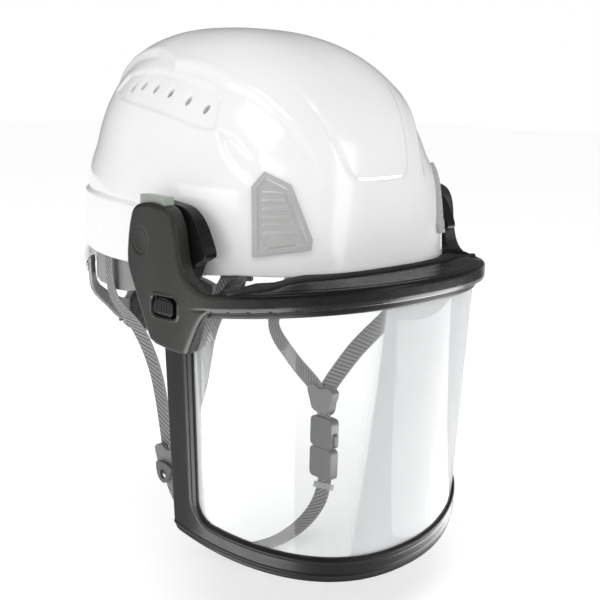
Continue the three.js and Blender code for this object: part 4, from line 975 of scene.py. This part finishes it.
# how deep the shelf reaches, along the inward normal
gi = np.linspace(0, LMAX, 160)
inn = np.vstack([INNER, (INNER[:-1] * [-1, 1])[::-1]])
depth = []
for g in gi:
    o_ = np.array([np.interp(g, gB, XB), np.interp(g, gB, YB)])
    n_ = -np.array([np.interp(g, gB, NXB) * ss(0, 3, g), np.interp(g, gB, NYB)])
    n_ /= np.linalg.norm(n_)
    best = 60.0
    for a_, b_ in zip(inn[:-1], inn[1:]):
        e_ = b_ - a_
        den = n_[0] * e_[1] - n_[1] * e_[0]
        if abs(den) < 1e-9:
            continue
        w_ = a_ - o_
        tt = (w_[0] * e_[1] - w_[1] * e_[0]) / den
        uu = (w_[0] * n_[1] - w_[1] * n_[0]) / den
        if tt > 2 and -0.02 <= uu <= 1.02:
            best = min(best, tt)
    depth.append(best)
depth = np.array(depth)
s98 = float(sB(-98))
plate_depth = 12.4
depth = np.where(gi > s98, plate_depth, np.minimum(depth, 30))
k5 = np.ones(5) / 5
depth = np.convolve(np.pad(depth, 2, mode="edge"), k5, "valid")
SC, LATCH_S = float(sB(-63)), float(sB(-80.2))
PIV_S = float(sB(-53))


def carrier_field(s, z, u):
    A = np.abs(s)
    y = np.interp(A, gB, YB)
    D = np.interp(A, gi, depth)
    zt = band_top(y)
    zi_ = lerp(zt, 0.2, ss(10, 20, D))
    inband = 1 - ss(s98 - 14, s98 - 2, A)
    rise = (zi_ - zt) * ss(0, 1, u / np.maximum(D, 1)) * inband
    o2 = poly_sdf(A, z, outline)
    o2s = poly_sdf(A, z - rise, outline)
    o2 = np.where(z > zt - 5, o2s, np.minimum(o2, o2s) * 0 + o2)
    B = lerp(plate_depth, np.minimum(14.5, D - 0.8), inband)
    f = rmax(rmax(o2, -u, 2.6), u - B, 0.8)
    # shelf over the brow, reaching the gasket
    shelf = rmax(np.abs(z - (zt + rise - 1.8)) - 1.8, u - D, 0.7)
    shelf = np.maximum(shelf, 5 - u)
    shelf = np.maximum(shelf, A - (s98 + 4))
    f = smin(f, shelf, 1.6)
    # open tray behind the plate
    cav = rmax(rmax(o2 + 2.4, 3.5 - u, 1.6), sB(-96.3) - A, 3.0)
    f = np.maximum(f, -cav)
    # relief behind the wall for the latch's guide flange
    rel = np.maximum(rbox(A - LATCH_S + 1.6, z + 19.1, 15.2, 9.8, 3.0), np.abs(u - 6.3) - 3.6)
    f = np.maximum(f, -rel)
    # hinge boss
    bx = np.hypot(y + 53, z - 26)
    boss = np.maximum(np.maximum(bx - 9.6, 6.4 - bx), np.maximum(u - 11.4, 2.5 - u))
    f = np.minimum(f, np.where(A > sB(-70), boss, 9.0))
    # latch opening with a thin raised edge round it
    ls = rbox(A - LATCH_S, z + 19.1, 11.35, 6.7, 4.0)
    ring = np.maximum(np.abs(ls - 1.1) - 0.62, np.maximum(-0.45 - u, u - 1.5))
    f = smin(f, ring, 0.5)
    f = np.maximum(f, -np.maximum(ls, u - 9))
    # seat for the lock button
    lk = np.maximum(rbox(A - SC, z - 46.0, 13.8, 10.0, 1.2), np.abs(u - 8.8) - 4.8)
    f = np.maximum(f, -lk)
    # round dimple over the plate
    dm = np.hypot(y + 56, z - 20)
    f = f + 0.5 * np.exp(-(dm / 7.0) ** 4) * ss(2.4, 0.4, u) * (A > sB(-90))
    f = f + 0.35 * np.exp(-((dm - 8.2) / 0.6) ** 2) * ss(2.4, 0.4, u) * (A > sB(-90))
    # parting line low on the band
    pl = z - (zt - BAND["height"] + 2.1)
    f = f + 0.45 * np.exp(-(pl / 0.45) ** 2) * ss(1.8, 0.2, u) * inband
    # way for the visor's side member
    sc = np.maximum(np.maximum(np.abs(y + 67) - 5.5, np.abs(u - 10.8) - 2.8), z + 15)
    f = np.maximum(f, -np.where(A > sB(-74), sc, 9.0))
    return f


stp = 1.0 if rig.quick() else 0.8
carrier = sdf_piece("carrier_body", carrier_field, (-LMAX - 2, -50, -1.6), (LMAX + 2, 48, 30.5), (stp, stp, 0.8), warp=band_map, mat=M["gloss"], sharp=38)
put(carrier, "visor", "black_plastic", "carrier")

# ------------------------------------------------------------------ visor frame and lens
t_tab = np.linspace(math.pi / 2, 0.0, 1200)
lx, ly = LENS["w"] * np.cos(t_tab) ** 0.92, LENS["y0"] - LENS["d"] * np.sin(t_tab) ** 0.92
s_tab = np.r_[0, np.cumsum(np.hypot(np.diff(lx), np.diff(ly)))]
LS = s_tab[-1]


def t_of_s(A):
    return np.interp(A, s_tab, t_tab)


def lens_point(t, z, off):
    """Points of the visor surface; t from 0 at the left side to pi at the right."""
    def f(tt):
        q_ = (LENS["zTop"] - z) / (LENS["zTop"] - LENS["zBot"])
        k = 1 - LENS["taper"] * q_
        ct, st = np.cos(tt), np.abs(np.sin(tt))
        x = np.sign(ct) * LENS["w"] * k * np.abs(ct) ** 0.92
        y = LENS["y0"] - LENS["d"] * k * st ** 0.92 + LENS["lean"] * q_ - LENS["sweep"] * q_ * (1 - st) ** 2
        return x, y
    a = np.clip(t, 0.02, math.pi - 0.02)
    x, y = f(a)
    x1, y1 = f(a + 0.01)
    x0, y0 = f(a - 0.01)
    tx, ty = x1 - x0, y1 - y0
    L = np.hypot(tx, ty)
    nx, ny = -ty / L, tx / L
    sg = np.where(nx * x + ny * (y + 60) < 0, -1, 1)
    return np.stack([x + nx * sg * off, y + ny * sg * off, z + 0 * t], -1)


def rim_bot(t):
    return -173 - 33.18 * np.abs(np.sin(t)) ** 1.32


def rail_top(t):
    yy_ = LENS["y0"] - LENS["d"] * np.abs(np.sin(t)) ** 0.92
    return band_top(yy_ - 4) - BAND["height"] + 3.4


S_WIN = float(np.interp(-12.75 * RAD, -t_tab, s_tab))


def frame_map(p):
    A = np.abs(p[:, 0])
    t = t_of_s(A)
    t = np.where(p[:, 0] < 0, math.pi - t, t)
    return lens_point(t, p[:, 1], p[:, 2])


def frame_field(s, z, o):
    A = np.abs(s)
    t = t_of_s(np.minimum(A, LS))
    rb, rt = rim_bot(t), rail_top(t)
    zc = np.maximum(z, -200) + 0 * z
    out2 = rmax(rmax(z - rt, A - (LS - 2.6), 1.0), rb - z, 6.0)
    hi, lo = rt - 7.6, rb + 17
    w = np.maximum(rmax(A - S_WIN, z - hi, 15.0), rmax(A - S_WIN, lo - z, 13.0))
    two = np.maximum(out2, -w)
    f = rmax(two, np.abs(o - 0.2) - 2.2, 0.9)
    face = ss(0.2, 1.6, o)
    lowz = ss(-26, -34, z)
    bead = np.exp(-((w - 2.4) / 0.95) ** 2) + 0.9 * np.exp(-((w - 6.0) / 0.95) ** 2) * ss(10, 20, z - lo + 15 * ss(S_WIN - 30, S_WIN, A)) \
        + np.exp(-((rb + 4.6 - z) / 0.95) ** 2)
    f = f - 0.62 * np.minimum(bead, 1.1) * face * lowz
    f = f + 0.3 * np.exp(-((w - 4.2) / 0.6) ** 2) * face * lowz
    return f


visor_frame = sdf_piece("visor_surround", frame_field, (-LS - 1.5, -209, -3.2), (LS + 1.5, -3, 4.4), (stp, stp, 0.75), warp=frame_map, mat=M["black"], sharp=45)
put(visor_frame, "visor", "black_plastic", "visor_frame")

grow = 4.0
NU, NV = 300, 90
sl_ = S_WIN + grow
S_ = sl_ * np.sin(np.linspace(-math.pi / 2, math.pi / 2, NU)) * 0.6 + np.linspace(-sl_, sl_, NU) * 0.4
A_ = np.abs(S_)
t_ = t_of_s(A_)
corner = np.clip((A_ - (sl_ - 15)) / 15, 0, 1)
cr = 15 * (1 - np.sqrt(np.maximum(0, 1 - corner ** 2)))
top_, bot_ = rail_top(t_) - 7.6 + grow - cr, rim_bot(t_) + 17 - grow + cr * 0.85
tt_ = np.where(S_ < 0, math.pi - t_, t_)
grid = []
for k in range(NV):
    z = lerp(bot_, top_, k / (NV - 1))
    grid.append((tt_, z))
Vl = []
for off in (-0.6, 0.6):
    for tt, z in grid:
        Vl.append(lens_point(tt, z, off))
Vl = np.vstack(Vl)
Fl = []
n_ = NU * NV
a = (np.arange(NV - 1)[:, None] * NU + np.arange(NU - 1)[None]).ravel()
Fl = np.vstack([np.stack([a, a + 1, a + NU + 1, a + NU], 1), np.stack([a, a + NU, a + NU + 1, a + 1], 1) + n_])
loop = list(range(NU)) + [k * NU + NU - 1 for k in range(1, NV)] + [(NV - 1) * NU + i for i in range(NU - 2, -1, -1)] + [k * NU for k in range(NV - 2, 0, -1)]
loop = np.array(loop)
nx_ = np.roll(loop, -1)
Fl = np.vstack([Fl, np.stack([nx_, loop, loop + n_, nx_ + n_], 1)])
lens = mesh_obj("lens_sheet", Vl, Fl, [M["lens"]], sharp=60)
fix_normals(lens)
put(lens, "visor", "lens", "lens")

# ------------------------------------------------------------------ gasket: the node's section, finely rounded
def lip_relief(co):
    """The lip's middle is drawn in a little, so it clears the shell's raised front with the visor up."""
    ax = np.abs(co[:, 0])
    k = np.clip((ax / 2).astype(int), 0, 60)
    top = np.full(61, -1e4)
    np.maximum.at(top, k, co[:, 1])
    inner = np.interp(ax, np.arange(61) * 2.0 + 1, top)
    co[:, 1] -= 1.9 * ss(72, 46, ax) * ss(7.0, 0.5, inner - co[:, 1])
    return co


gasket = moulded("brow_gasket", M["gasket"], 0.5, 8, name="brow_seal", sl="gasket", edit=lip_relief)

# ------------------------------------------------------------------ small moulded pieces
def clip_relief(co):
    """Ribs, an inner ridge and a foot lobe on the lamp clip's face."""
    sg = 1 if co[:, 0].mean() > 0 else -1
    c = np.array([77.931, -123.200, 39.041])
    n = np.array([0.59458, -0.79214, 0.13778])
    n /= np.linalg.norm(n)
    p = co * [sg, 1, 1] - c
    e1 = np.array([0, 0, 1.0]) - n * n[2]
    e1 /= np.linalg.norm(e1)
    e2 = np.cross(e1, n)
    u, v, w = p @ e2, p @ e1, p @ n
    top = w.max()
    face = ss(top - 1.2, top - 0.25, w)
    poly = [[float(q @ e2), float(q @ e1)] for q in (np.array(k) - c for k in ([88.2, -106.3, 55.5], [81, -110.3, 65.1], [68.9, -122.2, 56.9], [60.2, -133.2, 23.2], [61.4, -133.4, 17.1], [91.3, -111.7, 12.6]))]
    d = poly_sdf(u, v, poly)
    inner = ss(-3.0, -4.2, d)
    h = 1.5 * (ss(-2.6, -3.4, d) - ss(-4.3, -5.2, d) * 0.0) * 0.0
    h = -1.5 * inner
    rib = 0.9 * ss(0.25, 0.75, 0.5 + 0.5 * np.cos(2 * np.pi * v / 5.2)) * ss(-6.0, -7.2, d) * ss(-14, -10, v)
    lobe = 1.4 * ss(8.0, 6.4, np.hypot(u * 0.8, v + 20))
    h = h + rib + lobe * ss(-3.6, -4.6, d)
    co = co + (n * [sg, 1, 1])[None] * (h * face)[:, None]
    nn_ = n * [sg, 1, 1]
    for i in range(len(co)):
        o_ = co[i] + nn_ * 25
        hit = bvh.ray_cast(Vector(o_), Vector(-nn_))[0]
        if hit is not None:
            over = (co[i] - np.array(hit)) @ nn_ - (2.6 + h[i] * face[i] * 0.75)
            if over > 0:
                co[i] -= nn_ * over
    return co


for s_ in ("left", "right"):
    moulded("lamp_clip_" + s_, M["clip"], 0.42, 3, name="clip_body_" + s_, sl="clip", edit=clip_relief)
    moulded("adapter_" + s_, M["black"], 0.5, 5, name="hinge_plate_" + s_)
    moulded("pivot_pin_" + s_, M["grey"], 0.3, 3, name="hinge_pin_" + s_, sl="grey_plastic")
    moulded("pivot_screw_" + s_, M["steel"], 0.2, 2, name="hinge_screw_" + s_, sl="steel")
    moulded("detent_ring_" + s_, M["black"], 0.28, 2, name="detent_teeth_" + s_)
    moulded("detent_spring_" + s_, M["steel"], 0.25, 2, name="detent_leaf_" + s_, sl="steel")
    moulded("visor_latch_" + s_, M["black"], 0.26, 3, name="latch_slider_" + s_)
    moulded("lock_button_" + s_, M["lock"], 0.35, 22, name="lock_key_" + s_, sl="lock_grey")
    moulded("cradle_clip_front_" + s_, M["grey"], 0.42, 6, name="cradle_foot_front_" + s_, sl="grey_plastic")
    moulded("cradle_clip_rear_" + s_, M["grey"], 0.42, 6, name="cradle_foot_rear_" + s_, sl="grey_plastic")
    moulded("rack_" + s_, M["grey"], 0.22, 2, name="rack_strip_" + s_, sl="grey_plastic")
    moulded("nape_rivet_" + s_, M["steel"], 0.22, 2, name="rivet_head_" + s_, sl="steel")
    moulded("strap_anchor_front_" + s_, M["grey"], 0.36, 5, name="anchor_front_" + s_, sl="grey_plastic")
    moulded("strap_anchor_rear_" + s_, M["grey"], 0.36, 5, name="anchor_rear_" + s_, sl="grey_plastic")
    moulded("strap_divider_" + s_, M["grey"], 0.3, 5, name="divider_" + s_, sl="grey_plastic")
    moulded("strap_lever_" + s_, M["dark"], 0.24, 4, name="cam_lever_" + s_, sl="dark_grey_plastic")
moulded("headband", M["band"], 0.6, 5, name="head_ring", sl="dark_grey_plastic")
moulded("nape_cradle", M["band"], 0.5, 6, name="nape_yoke", sl="grey_plastic")
moulded("nape_cover", M["grey"], 0.42, 6, name="nape_housing", sl="grey_plastic")
moulded("ratchet_knob", M["dark"], 0.4, 4, name="knob_wheel", sl="dark_grey_plastic")
moulded("pinion", M["grey"], 0.22, 2, name="pinion_gear", sl="grey_plastic")
moulded("buckle_female", M["dark"], 0.28, 5, name="buckle_socket", sl="dark_grey_plastic")
moulded("buckle_male", M["dark"], 0.28, 5, name="buckle_plug", sl="dark_grey_plastic")
moulded("buckle_tab_front", M["dark"], 0.24, 4, name="buckle_key_front", sl="dark_grey_plastic")
moulded("buckle_tab_rear", M["dark"], 0.24, 4, name="buckle_key_rear", sl="dark_grey_plastic")
moulded("strap_keeper", M["clip"], 0.24, 3, name="strap_loop", sl="grey_plastic")
moulded("strap_slider", M["grey"], 0.24, 3, name="strap_adjuster", sl="grey_plastic")


# ------------------------------------------------------------------ webbing
def web(name, node, ctl, norms, n=160, w=15.5, t=1.7, joined=None, u0_=0.0):
    p = catmull(ctl, n)
    m = len(norms) - 1
    N = []
    for i in range(n + 1):
        s = i / n * m
        k = min(m - 1, int(s))
        v = np.array(norms[k], float) * (1 - (s - k)) + np.array(norms[k + 1], float) * (s - k)
        N.append(v / np.linalg.norm(v))
    N = np.array(N)
    kk = np.ones(9) / 9
    N = np.stack([np.convolve(np.pad(N[:, i], 4, mode="edge"), kk, "valid") for i in range(3)], 1)
    tg = np.gradient(p, axis=0)
    tg /= np.linalg.norm(tg, axis=1, keepdims=True)
    N -= tg * np.einsum("ij,ij->i", N, tg)[:, None]
    N /= np.linalg.norm(N, axis=1, keepdims=True)
    W = np.cross(tg, N)
    L = np.r_[0, np.cumsum(np.linalg.norm(np.diff(p, axis=0), axis=1))] + u0_
    # section: thin body, rounded selvedges, ribs standing a little proud
    prof, pv = [], []
    K = 26
    for i in range(K + 1):
        v = -w / 2 + w * i / K
        e = max(0.0, 1 - ((abs(v) - (w / 2 - 0.8)) / 0.8) ** 2) ** 0.5 if abs(v) > w / 2 - 0.8 else 1.0
        prof.append((v, t / 2 * e))
    for i in range(K - 1, 0, -1):
        v = -w / 2 + w * i / K
        e = max(0.0, 1 - ((abs(v) - (w / 2 - 0.8)) / 0.8) ** 2) ** 0.5 if abs(v) > w / 2 - 0.8 else 1.0
        prof.append((v, -t / 2 * e))
    prof = np.array(prof)
    m_ = len(prof)
    V, UV = [], []
    for i in range(n + 1):
        rib = 0.10 * np.sin(2 * np.pi * (L[i] + 0.62 * prof[:, 0]) / 2.35) * (np.abs(prof[:, 0]) < w / 2 - 1.2)
        V.append(p[i] + W[i] * prof[:, :1] + N[i] * (prof[:, 1] + np.sign(prof[:, 1]) * (rib - 0.08))[:, None])
        UV.append(np.stack([np.full(m_, L[i]), prof[:, 0]], 1))
    V, UV = np.vstack(V), np.vstack(UV)
    a = np.arange(m_)
    b = (a + 1) % m_
    F = []
    for i in range(n):
        o_ = i * m_
        F += np.stack([o_ + a, o_ + b, o_ + m_ + b, o_ + m_ + a], 1).tolist()
    F.append(list(range(m_))[::-1])
    F.append([n * m_ + i for i in range(m_)])
    o = mesh_obj(name, V, F, [M["web"]], uv=UV, sharp=60)
    fix_normals(o)
    if node:
        put(o, BODY_OF[node], "webbing", node)
    return o


def anchor(th_, z):
    a = np.array([th_]), np.array([float(z)])
    n = normal_at(*a)[0]
    n = np.array([n[0], n[1], 0])
    n /= np.linalg.norm(n)
    return shell_inner(np.array([th_]), np.array([float(z)]), np.array([0.0]))[0] - 4.3 * n, n


aF, nF = anchor(44 * RAD, 5)
aR, nR = anchor(108 * RAD, 7)
fT, rT = aF + [0, 0, -3], aR + [0, 0, -3]
mx = np.array([-1, 1, 1])
X1 = (1, 0, 0)
nn = 1 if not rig.quick() else 2
web("web_front_left", "strap_front_left", [fT, (88.5, -76, -48), (77, -42, -92), (71.6, -19, -127), (71.4, -17.5, -131)], [nF, (0.9, -0.3, 0), X1, X1, X1], 360 // nn)
web("web_rear_left", "strap_rear_left", [rT, (103, 37, -18), (101, 42, -36), (90, 58, -62), (78, 57, -88), (72, 27, -110), (68.6, -8, -128), (68.5, -11, -131)], [nR, nR, (1, 0.3, 0), (1, 0.1, 0), X1, X1, X1, X1], 420 // nn)
web("web_front_right", "strap_front_right", [fT * mx, (-85, -62, -40), (-79, -40, -96), (-76.6, -10, -148), (-76.4, -7, -152)], [nF * mx, (-1, -0.2, 0), (-1, 0, 0), (-1, 0, 0), (-1, 0, 0)], 400 // nn)
web("web_rear_right", "strap_rear_right", [rT * mx, (-103.4, 33, -18), (-101, 31, -36), (-86, 22, -62), (-78, 13, -92), (-73.6, 4, -146), (-73.5, 3, -152)], [nR * mx, nR * mx, (-1, 0.2, 0), (-1, 0, 0), (-1, 0, 0), (-1, 0, 0), (-1, 0, 0)], 400 // nn)
web("web_upper_left", "strap_upper_left", [(70, -16, -142), (70, -16.5, -148), (70, -17.5, -155)], [X1, X1, X1], 40)
web("web_chin", "chin_strap", [(70, -20, -199), (69, -20.5, -209), (60, -23, -224), (38, -26, -236), (4, -27, -241), (-34, -22, -233), (-62, -11, -208), (-73.5, -3, -180), (-75, -2, -163)],
    [X1, (1, 0, -0.3), (0.7, 0, -0.8), (0.3, 0, -1), (0, 0, -1), (-0.4, 0, -1), (-0.85, 0, -0.55), (-1, 0, -0.1), (-1, 0, 0)], 560 // nn)

# crown cradle: four webbing arms and a stitched hub
HUB_Z, HUB_Y = 120.0, SH["yo"] * 0.6
cradle_parts = []
for deg, z in ((50, 34), (128, 30)):
    a0 = np.array([deg * RAD]), np.array([float(z)])
    n3 = normal_at(*a0)[0]
    nh_ = np.array([n3[0], n3[1], 0])
    nh_ /= np.linalg.norm(nh_)
    p0 = shell_inner(a0[0], a0[1], np.array([5.2]))[0] - 8.6 * nh_
    p0[2] = z + 1
    for sg in (1, -1):
        pts, N = [], []
        for i in range(13):
            u = i / 12 * math.pi / 2
            k = math.cos(u) ** 0.8 if i < 12 else 0.0
            zz = lerp(p0[2], HUB_Z, math.sin(u) ** 1.1)
            pts.append((sg * p0[0] * k, HUB_Y * (1 - k) + p0[1] * k, zz))
            N.append((sg * nh_[0] * math.cos(u), nh_[1] * math.cos(u), math.sin(u) + 0.02))
        cradle_parts.append(web("cradle_arm_%d_%s" % (deg, "l" if sg > 0 else "r"), None, pts, N, 220 // nn, w=19, t=1.6))
# hub disc with a stitched ring
NR_, NA_ = 22, 120
V, UV = [], []
for side_ in (1, -1):
    for i in range(NR_ + 1):
        r = 27 * i / NR_
        for j in range(NA_):
            a = 2 * math.pi * j / NA_
            hh = 1.2 * (1 - max(0, (r - 25.8) / 1.2) ** 2) ** 0.5 if r > 25.8 else 1.2
            st = -0.28 * math.exp(-((r - 22.5) / 0.5) ** 2) + 0.22 * math.exp(-((r - 22.5) / 0.45) ** 2) * (math.sin(a * 30) > 0)
            V.append((r * math.cos(a), HUB_Y + r * math.sin(a), HUB_Z + side_ * (hh + st)))
            UV.append((r * math.cos(a), max(-6, min(6, r * math.sin(a) * 0.2))))
F = []
n1 = (NR_ + 1) * NA_
for sd in (0, 1):
    for i in range(NR_):
        for j in range(NA_):
            a, b = sd * n1 + i * NA_ + j, sd * n1 + i * NA_ + (j + 1) % NA_
            F.append([a, b, b + NA_, a + NA_] if sd == 0 else [b, a, a + NA_, b + NA_])
for j in range(NA_):
    a, b = NR_ * NA_ + j, NR_ * NA_ + (j + 1) % NA_
    F.append([a, b, b + n1, a + n1])
hub = mesh_obj("cradle_hub", V, F, [M["web"]], uv=UV, sharp=50)
bmh = bmesh.new()
bmh.from_mesh(hub.data)
bmesh.ops.remove_doubles(bmh, verts=bmh.verts, dist=1e-6)
bmesh.ops.recalc_face_normals(bmh, faces=bmh.faces)
bmh.to_mesh(hub.data)
bmh.free()
put(hub, BODY_OF["crown_cradle"], "webbing", "crown_cradle")
for o in cradle_parts:
    put(o, BODY_OF["crown_cradle"], "webbing", "crown_cradle")


# ------------------------------------------------------------------ pads
def pad(node, name, shrink=0.5, voxel=2.6, cap=1.6, seam=None):
    """Foam pad under stretched cloth: a slightly smaller solid swelled by pressure, its travel capped."""
    src = bpy.data.objects[node] if node in bpy.data.objects else frame["nodes"][node]
    me = src.data.copy()
    o = bpy.data.objects.new(name, me)
    bpy.context.scene.collection.objects.link(o)
    bm = bmesh.new()
    bm.from_mesh(me)
    bmesh.ops.remove_doubles(bm, verts=bm.verts, dist=1e-6)
    bm.normal_update()
    for v in bm.verts:
        v.co -= v.normal * shrink * MM
    bm.to_mesh(me)
    bm.free()
    rm = o.modifiers.new("fine", "REMESH")
    rm.mode = "VOXEL"
    rm.voxel_size = voxel * MM
    sm = o.modifiers.new("soft", "SMOOTH")
    sm.factor, sm.iterations = 0.5, 4
    apply_mods(o)
    rest_ = np.zeros(len(o.data.vertices) * 3, np.float32)
    o.data.vertices.foreach_get("co", rest_)
    rest_ = rest_.reshape(-1, 3).copy()
    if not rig.quick():
        cl = o.modifiers.new("cloth", "CLOTH")
        cl.settings.use_pressure = True
        cl.settings.uniform_pressure_force = 4
        cl.settings.effector_weights.gravity = 0
        cl.settings.quality = 5
        cl.point_cache.frame_start, cl.point_cache.frame_end = 1, 12
        for fr in range(1, 13):
            bpy.context.scene.frame_set(fr)
        apply_mods(o)
        bpy.context.scene.frame_set(1)
        co = np.zeros(len(o.data.vertices) * 3, np.float32)
        o.data.vertices.foreach_get("co", co)
        co = co.reshape(-1, 3)
        mv = co - rest_
        L = np.linalg.norm(mv, axis=1, keepdims=True)
        mv *= np.minimum(1, cap * MM / np.maximum(L, 1e-9))
        o.data.vertices.foreach_set("co", (rest_ + mv).astype(np.float32).ravel())
        o.data.update()
    sub = o.modifiers.new("sub", "SUBSURF")
    sub.levels = sub.render_levels = 2
    sub.subdivision_type = "CATMULL_CLARK"
    apply_mods(o)
    o.data.materials.clear()
    o.data.materials.append(M["foam"])
    o.data.shade_smooth()
    if seam:
        co = np.zeros(len(o.data.vertices) * 3, np.float32)
        o.data.vertices.foreach_get("co", co)
        nr = np.zeros(len(o.data.vertices) * 3, np.float32)
        o.data.vertices.foreach_get("normal", nr)
        co, nr = co.reshape(-1, 3).astype(float), nr.reshape(-1, 3)
        co = co + nr * (seam(co / MM) * MM)[:, None]
        o.data.vertices.foreach_set("co", co.astype(np.float32).ravel())
        o.data.update()
    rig.ride(o, BODY_OF[node])
    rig.replaces(o, node)
    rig.slot(o, "foam")
    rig.padded(o, fill=0.6)
    return o


def sweat_seam(p):
    a = np.arctan2(p[:, 0], -p[:, 1]) / RAD
    ch = np.zeros(len(p))
    for k in (-42, -14, 14, 42):
        ch -= 0.8 * np.exp(-((a - k) / 0.9) ** 2)
    return ch


def nape_seam(p):
    ch = np.zeros(len(p))
    for k in (-24, 0, 24):
        ch -= 0.8 * np.exp(-((p[:, 0] - k) / 1.1) ** 2)
    return ch


def crown_seam(p):
    r = np.hypot(p[:, 0], p[:, 1] - HUB_Y)
    return -0.7 * np.exp(-((r - 13) / 1.0) ** 2)


pad("sweatband", "brow_pad", 0.45, 2.2, 0.7, sweat_seam)
pad("crown_pad", "crown_cushion", 0.5, 2.2, 0.9, crown_seam)
pad("nape_pad", "nape_cushion", 0.45, 2.2, 0.7, nape_seam)

# ------------------------------------------------------------------ floor, light
bpy.ops.mesh.primitive_plane_add(size=14, location=(0, 0, -0.2455))
floor = bpy.context.object
floor.name = "floor"
fm, nt, b, out = new_mat("floor_pale")
fn = noise(nt, 3, 2, 0.5, objvec(nt))
nt.links.new(ramp(nt, fn.outputs[0], [(0.3, (0.925, 0.925, 0.925)), (0.7, (0.94, 0.94, 0.94))]).outputs[0], b.inputs["Base Color"])
b.inputs["Roughness"].default_value = 1.0
b.inputs["Specular IOR Level"].default_value = 0.0
b.inputs["Emission Color"].default_value = (1, 1, 1, 1)
b.inputs["Emission Strength"].default_value = 0.3
floor.data.materials.append(fm)
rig.stage(floor)

world = bpy.data.worlds.new("studio")
bpy.context.scene.world = world
world.use_nodes = True
wn = world.node_tree
bg = wn.nodes["Background"]
bg.inputs[0].default_value = (1, 1, 1, 1)
bg.inputs[1].default_value = 0.72
bg2 = wn.nodes.new("ShaderNodeBackground")
bg2.inputs[0].default_value = (1, 1, 1, 1)
bg2.inputs[1].default_value = 1.0
bg3 = wn.nodes.new("ShaderNodeBackground")
bg3.inputs[0].default_value = (1, 1, 1, 1)
bg3.inputs[1].default_value = 0.16
lp = wn.nodes.new("ShaderNodeLightPath")
wm = wn.nodes.new("ShaderNodeMixShader")
wm2 = wn.nodes.new("ShaderNodeMixShader")
wn.links.new(lp.outputs["Is Glossy Ray"], wm2.inputs[0])
wn.links.new(bg.outputs[0], wm2.inputs[1])
wn.links.new(bg3.outputs[0], wm2.inputs[2])
wn.links.new(lp.outputs["Is Camera Ray"], wm.inputs[0])
wn.links.new(wm2.outputs[0], wm.inputs[1])
wn.links.new(bg2.outputs[0], wm.inputs[2])
wn.links.new(wm.outputs[0], wn.nodes["World Output"].inputs[0])


def area(name, loc, aim, sx, sy, power, spread=180):
    L = bpy.data.lights.new(name, "AREA")
    L.shape, L.size, L.size_y, L.energy = "RECTANGLE", sx, sy, power
    L.spread = spread * RAD
    o = bpy.data.objects.new(name, L)
    bpy.context.scene.collection.objects.link(o)
    o.location = loc
    d = Vector(aim) - Vector(loc)
    o.rotation_mode = "QUATERNION"
    o.rotation_quaternion = d.to_track_quat("-Z", "Z")
    return o


area("key_top", (-0.55, -0.55, 1.25), (0, -0.03, 0.02), 0.9, 0.9, 5.4)
area("side_left", (-1.3, 0.15, 0.35), (0, 0, 0.0), 0.35, 1.2, 3.5)
area("front_right", (0.75, -1.35, 0.45), (0, -0.1, 0.0), 0.3, 1.2, 3.0)

# two low reflector panels stand in for the studio's softboxes in the lens
em, nt, b, out = new_mat("reflector_panel")
b.inputs["Base Color"].default_value = (1, 1, 1, 1)
b.inputs["Emission Color"].default_value = (1, 1, 1, 1)
b.inputs["Emission Strength"].default_value = 12.0
for nm, quad in (("reflector_a", [(-120, -240), (-395, -682), (-860, 160), (-235, -52)]), ("reflector_b", [(75, -250), (419, -741), (900, -420), (215, -105)])):
    o = mesh_obj(nm, [(x, y, -244.6) for x, y in quad], [(0, 1, 2, 3)], [em])
    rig.stage(o)
    o.visible_camera = False
    o.visible_diffuse = False
    o.visible_transmission = False
    o.visible_shadow = False
    o.visible_volume_scatter = False

# a dark card low in front gives the gloss band its black, as a studio flag does
km, nt, b, out = new_mat("dark_card")
b.inputs["Base Color"].default_value = (0.004, 0.004, 0.004, 1)
b.inputs["Roughness"].default_value = 1.0
b.inputs["Specular IOR Level"].default_value = 0.0
kv, kf = [], []
for i in range(19):
    q = (-105 + 9.0 * i) * RAD
    for r_ in (1150, 2700):
        kv.append((-r_ * math.sin(q), -100 - r_ * math.cos(q), -244.7))
    if i:
        kf.append((2 * i - 2, 2 * i - 1, 2 * i + 1, 2 * i))
card = mesh_obj("flag_card", kv, kf, [km])
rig.stage(card)
card.visible_camera = False
card.visible_diffuse = False
card.visible_transmission = False
card.visible_shadow = False
card.visible_volume_scatter = False

bpy.context.scene.view_settings.view_transform = "Standard"
bpy.context.scene.view_settings.look = "None"

lo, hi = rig.bounds()
json.dump({"cad": [list(map(float, CAD_LO)), list(map(float, CAD_HI))], "visual": [list(map(float, lo)), list(map(float, hi))]}, open("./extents.json", "w"))
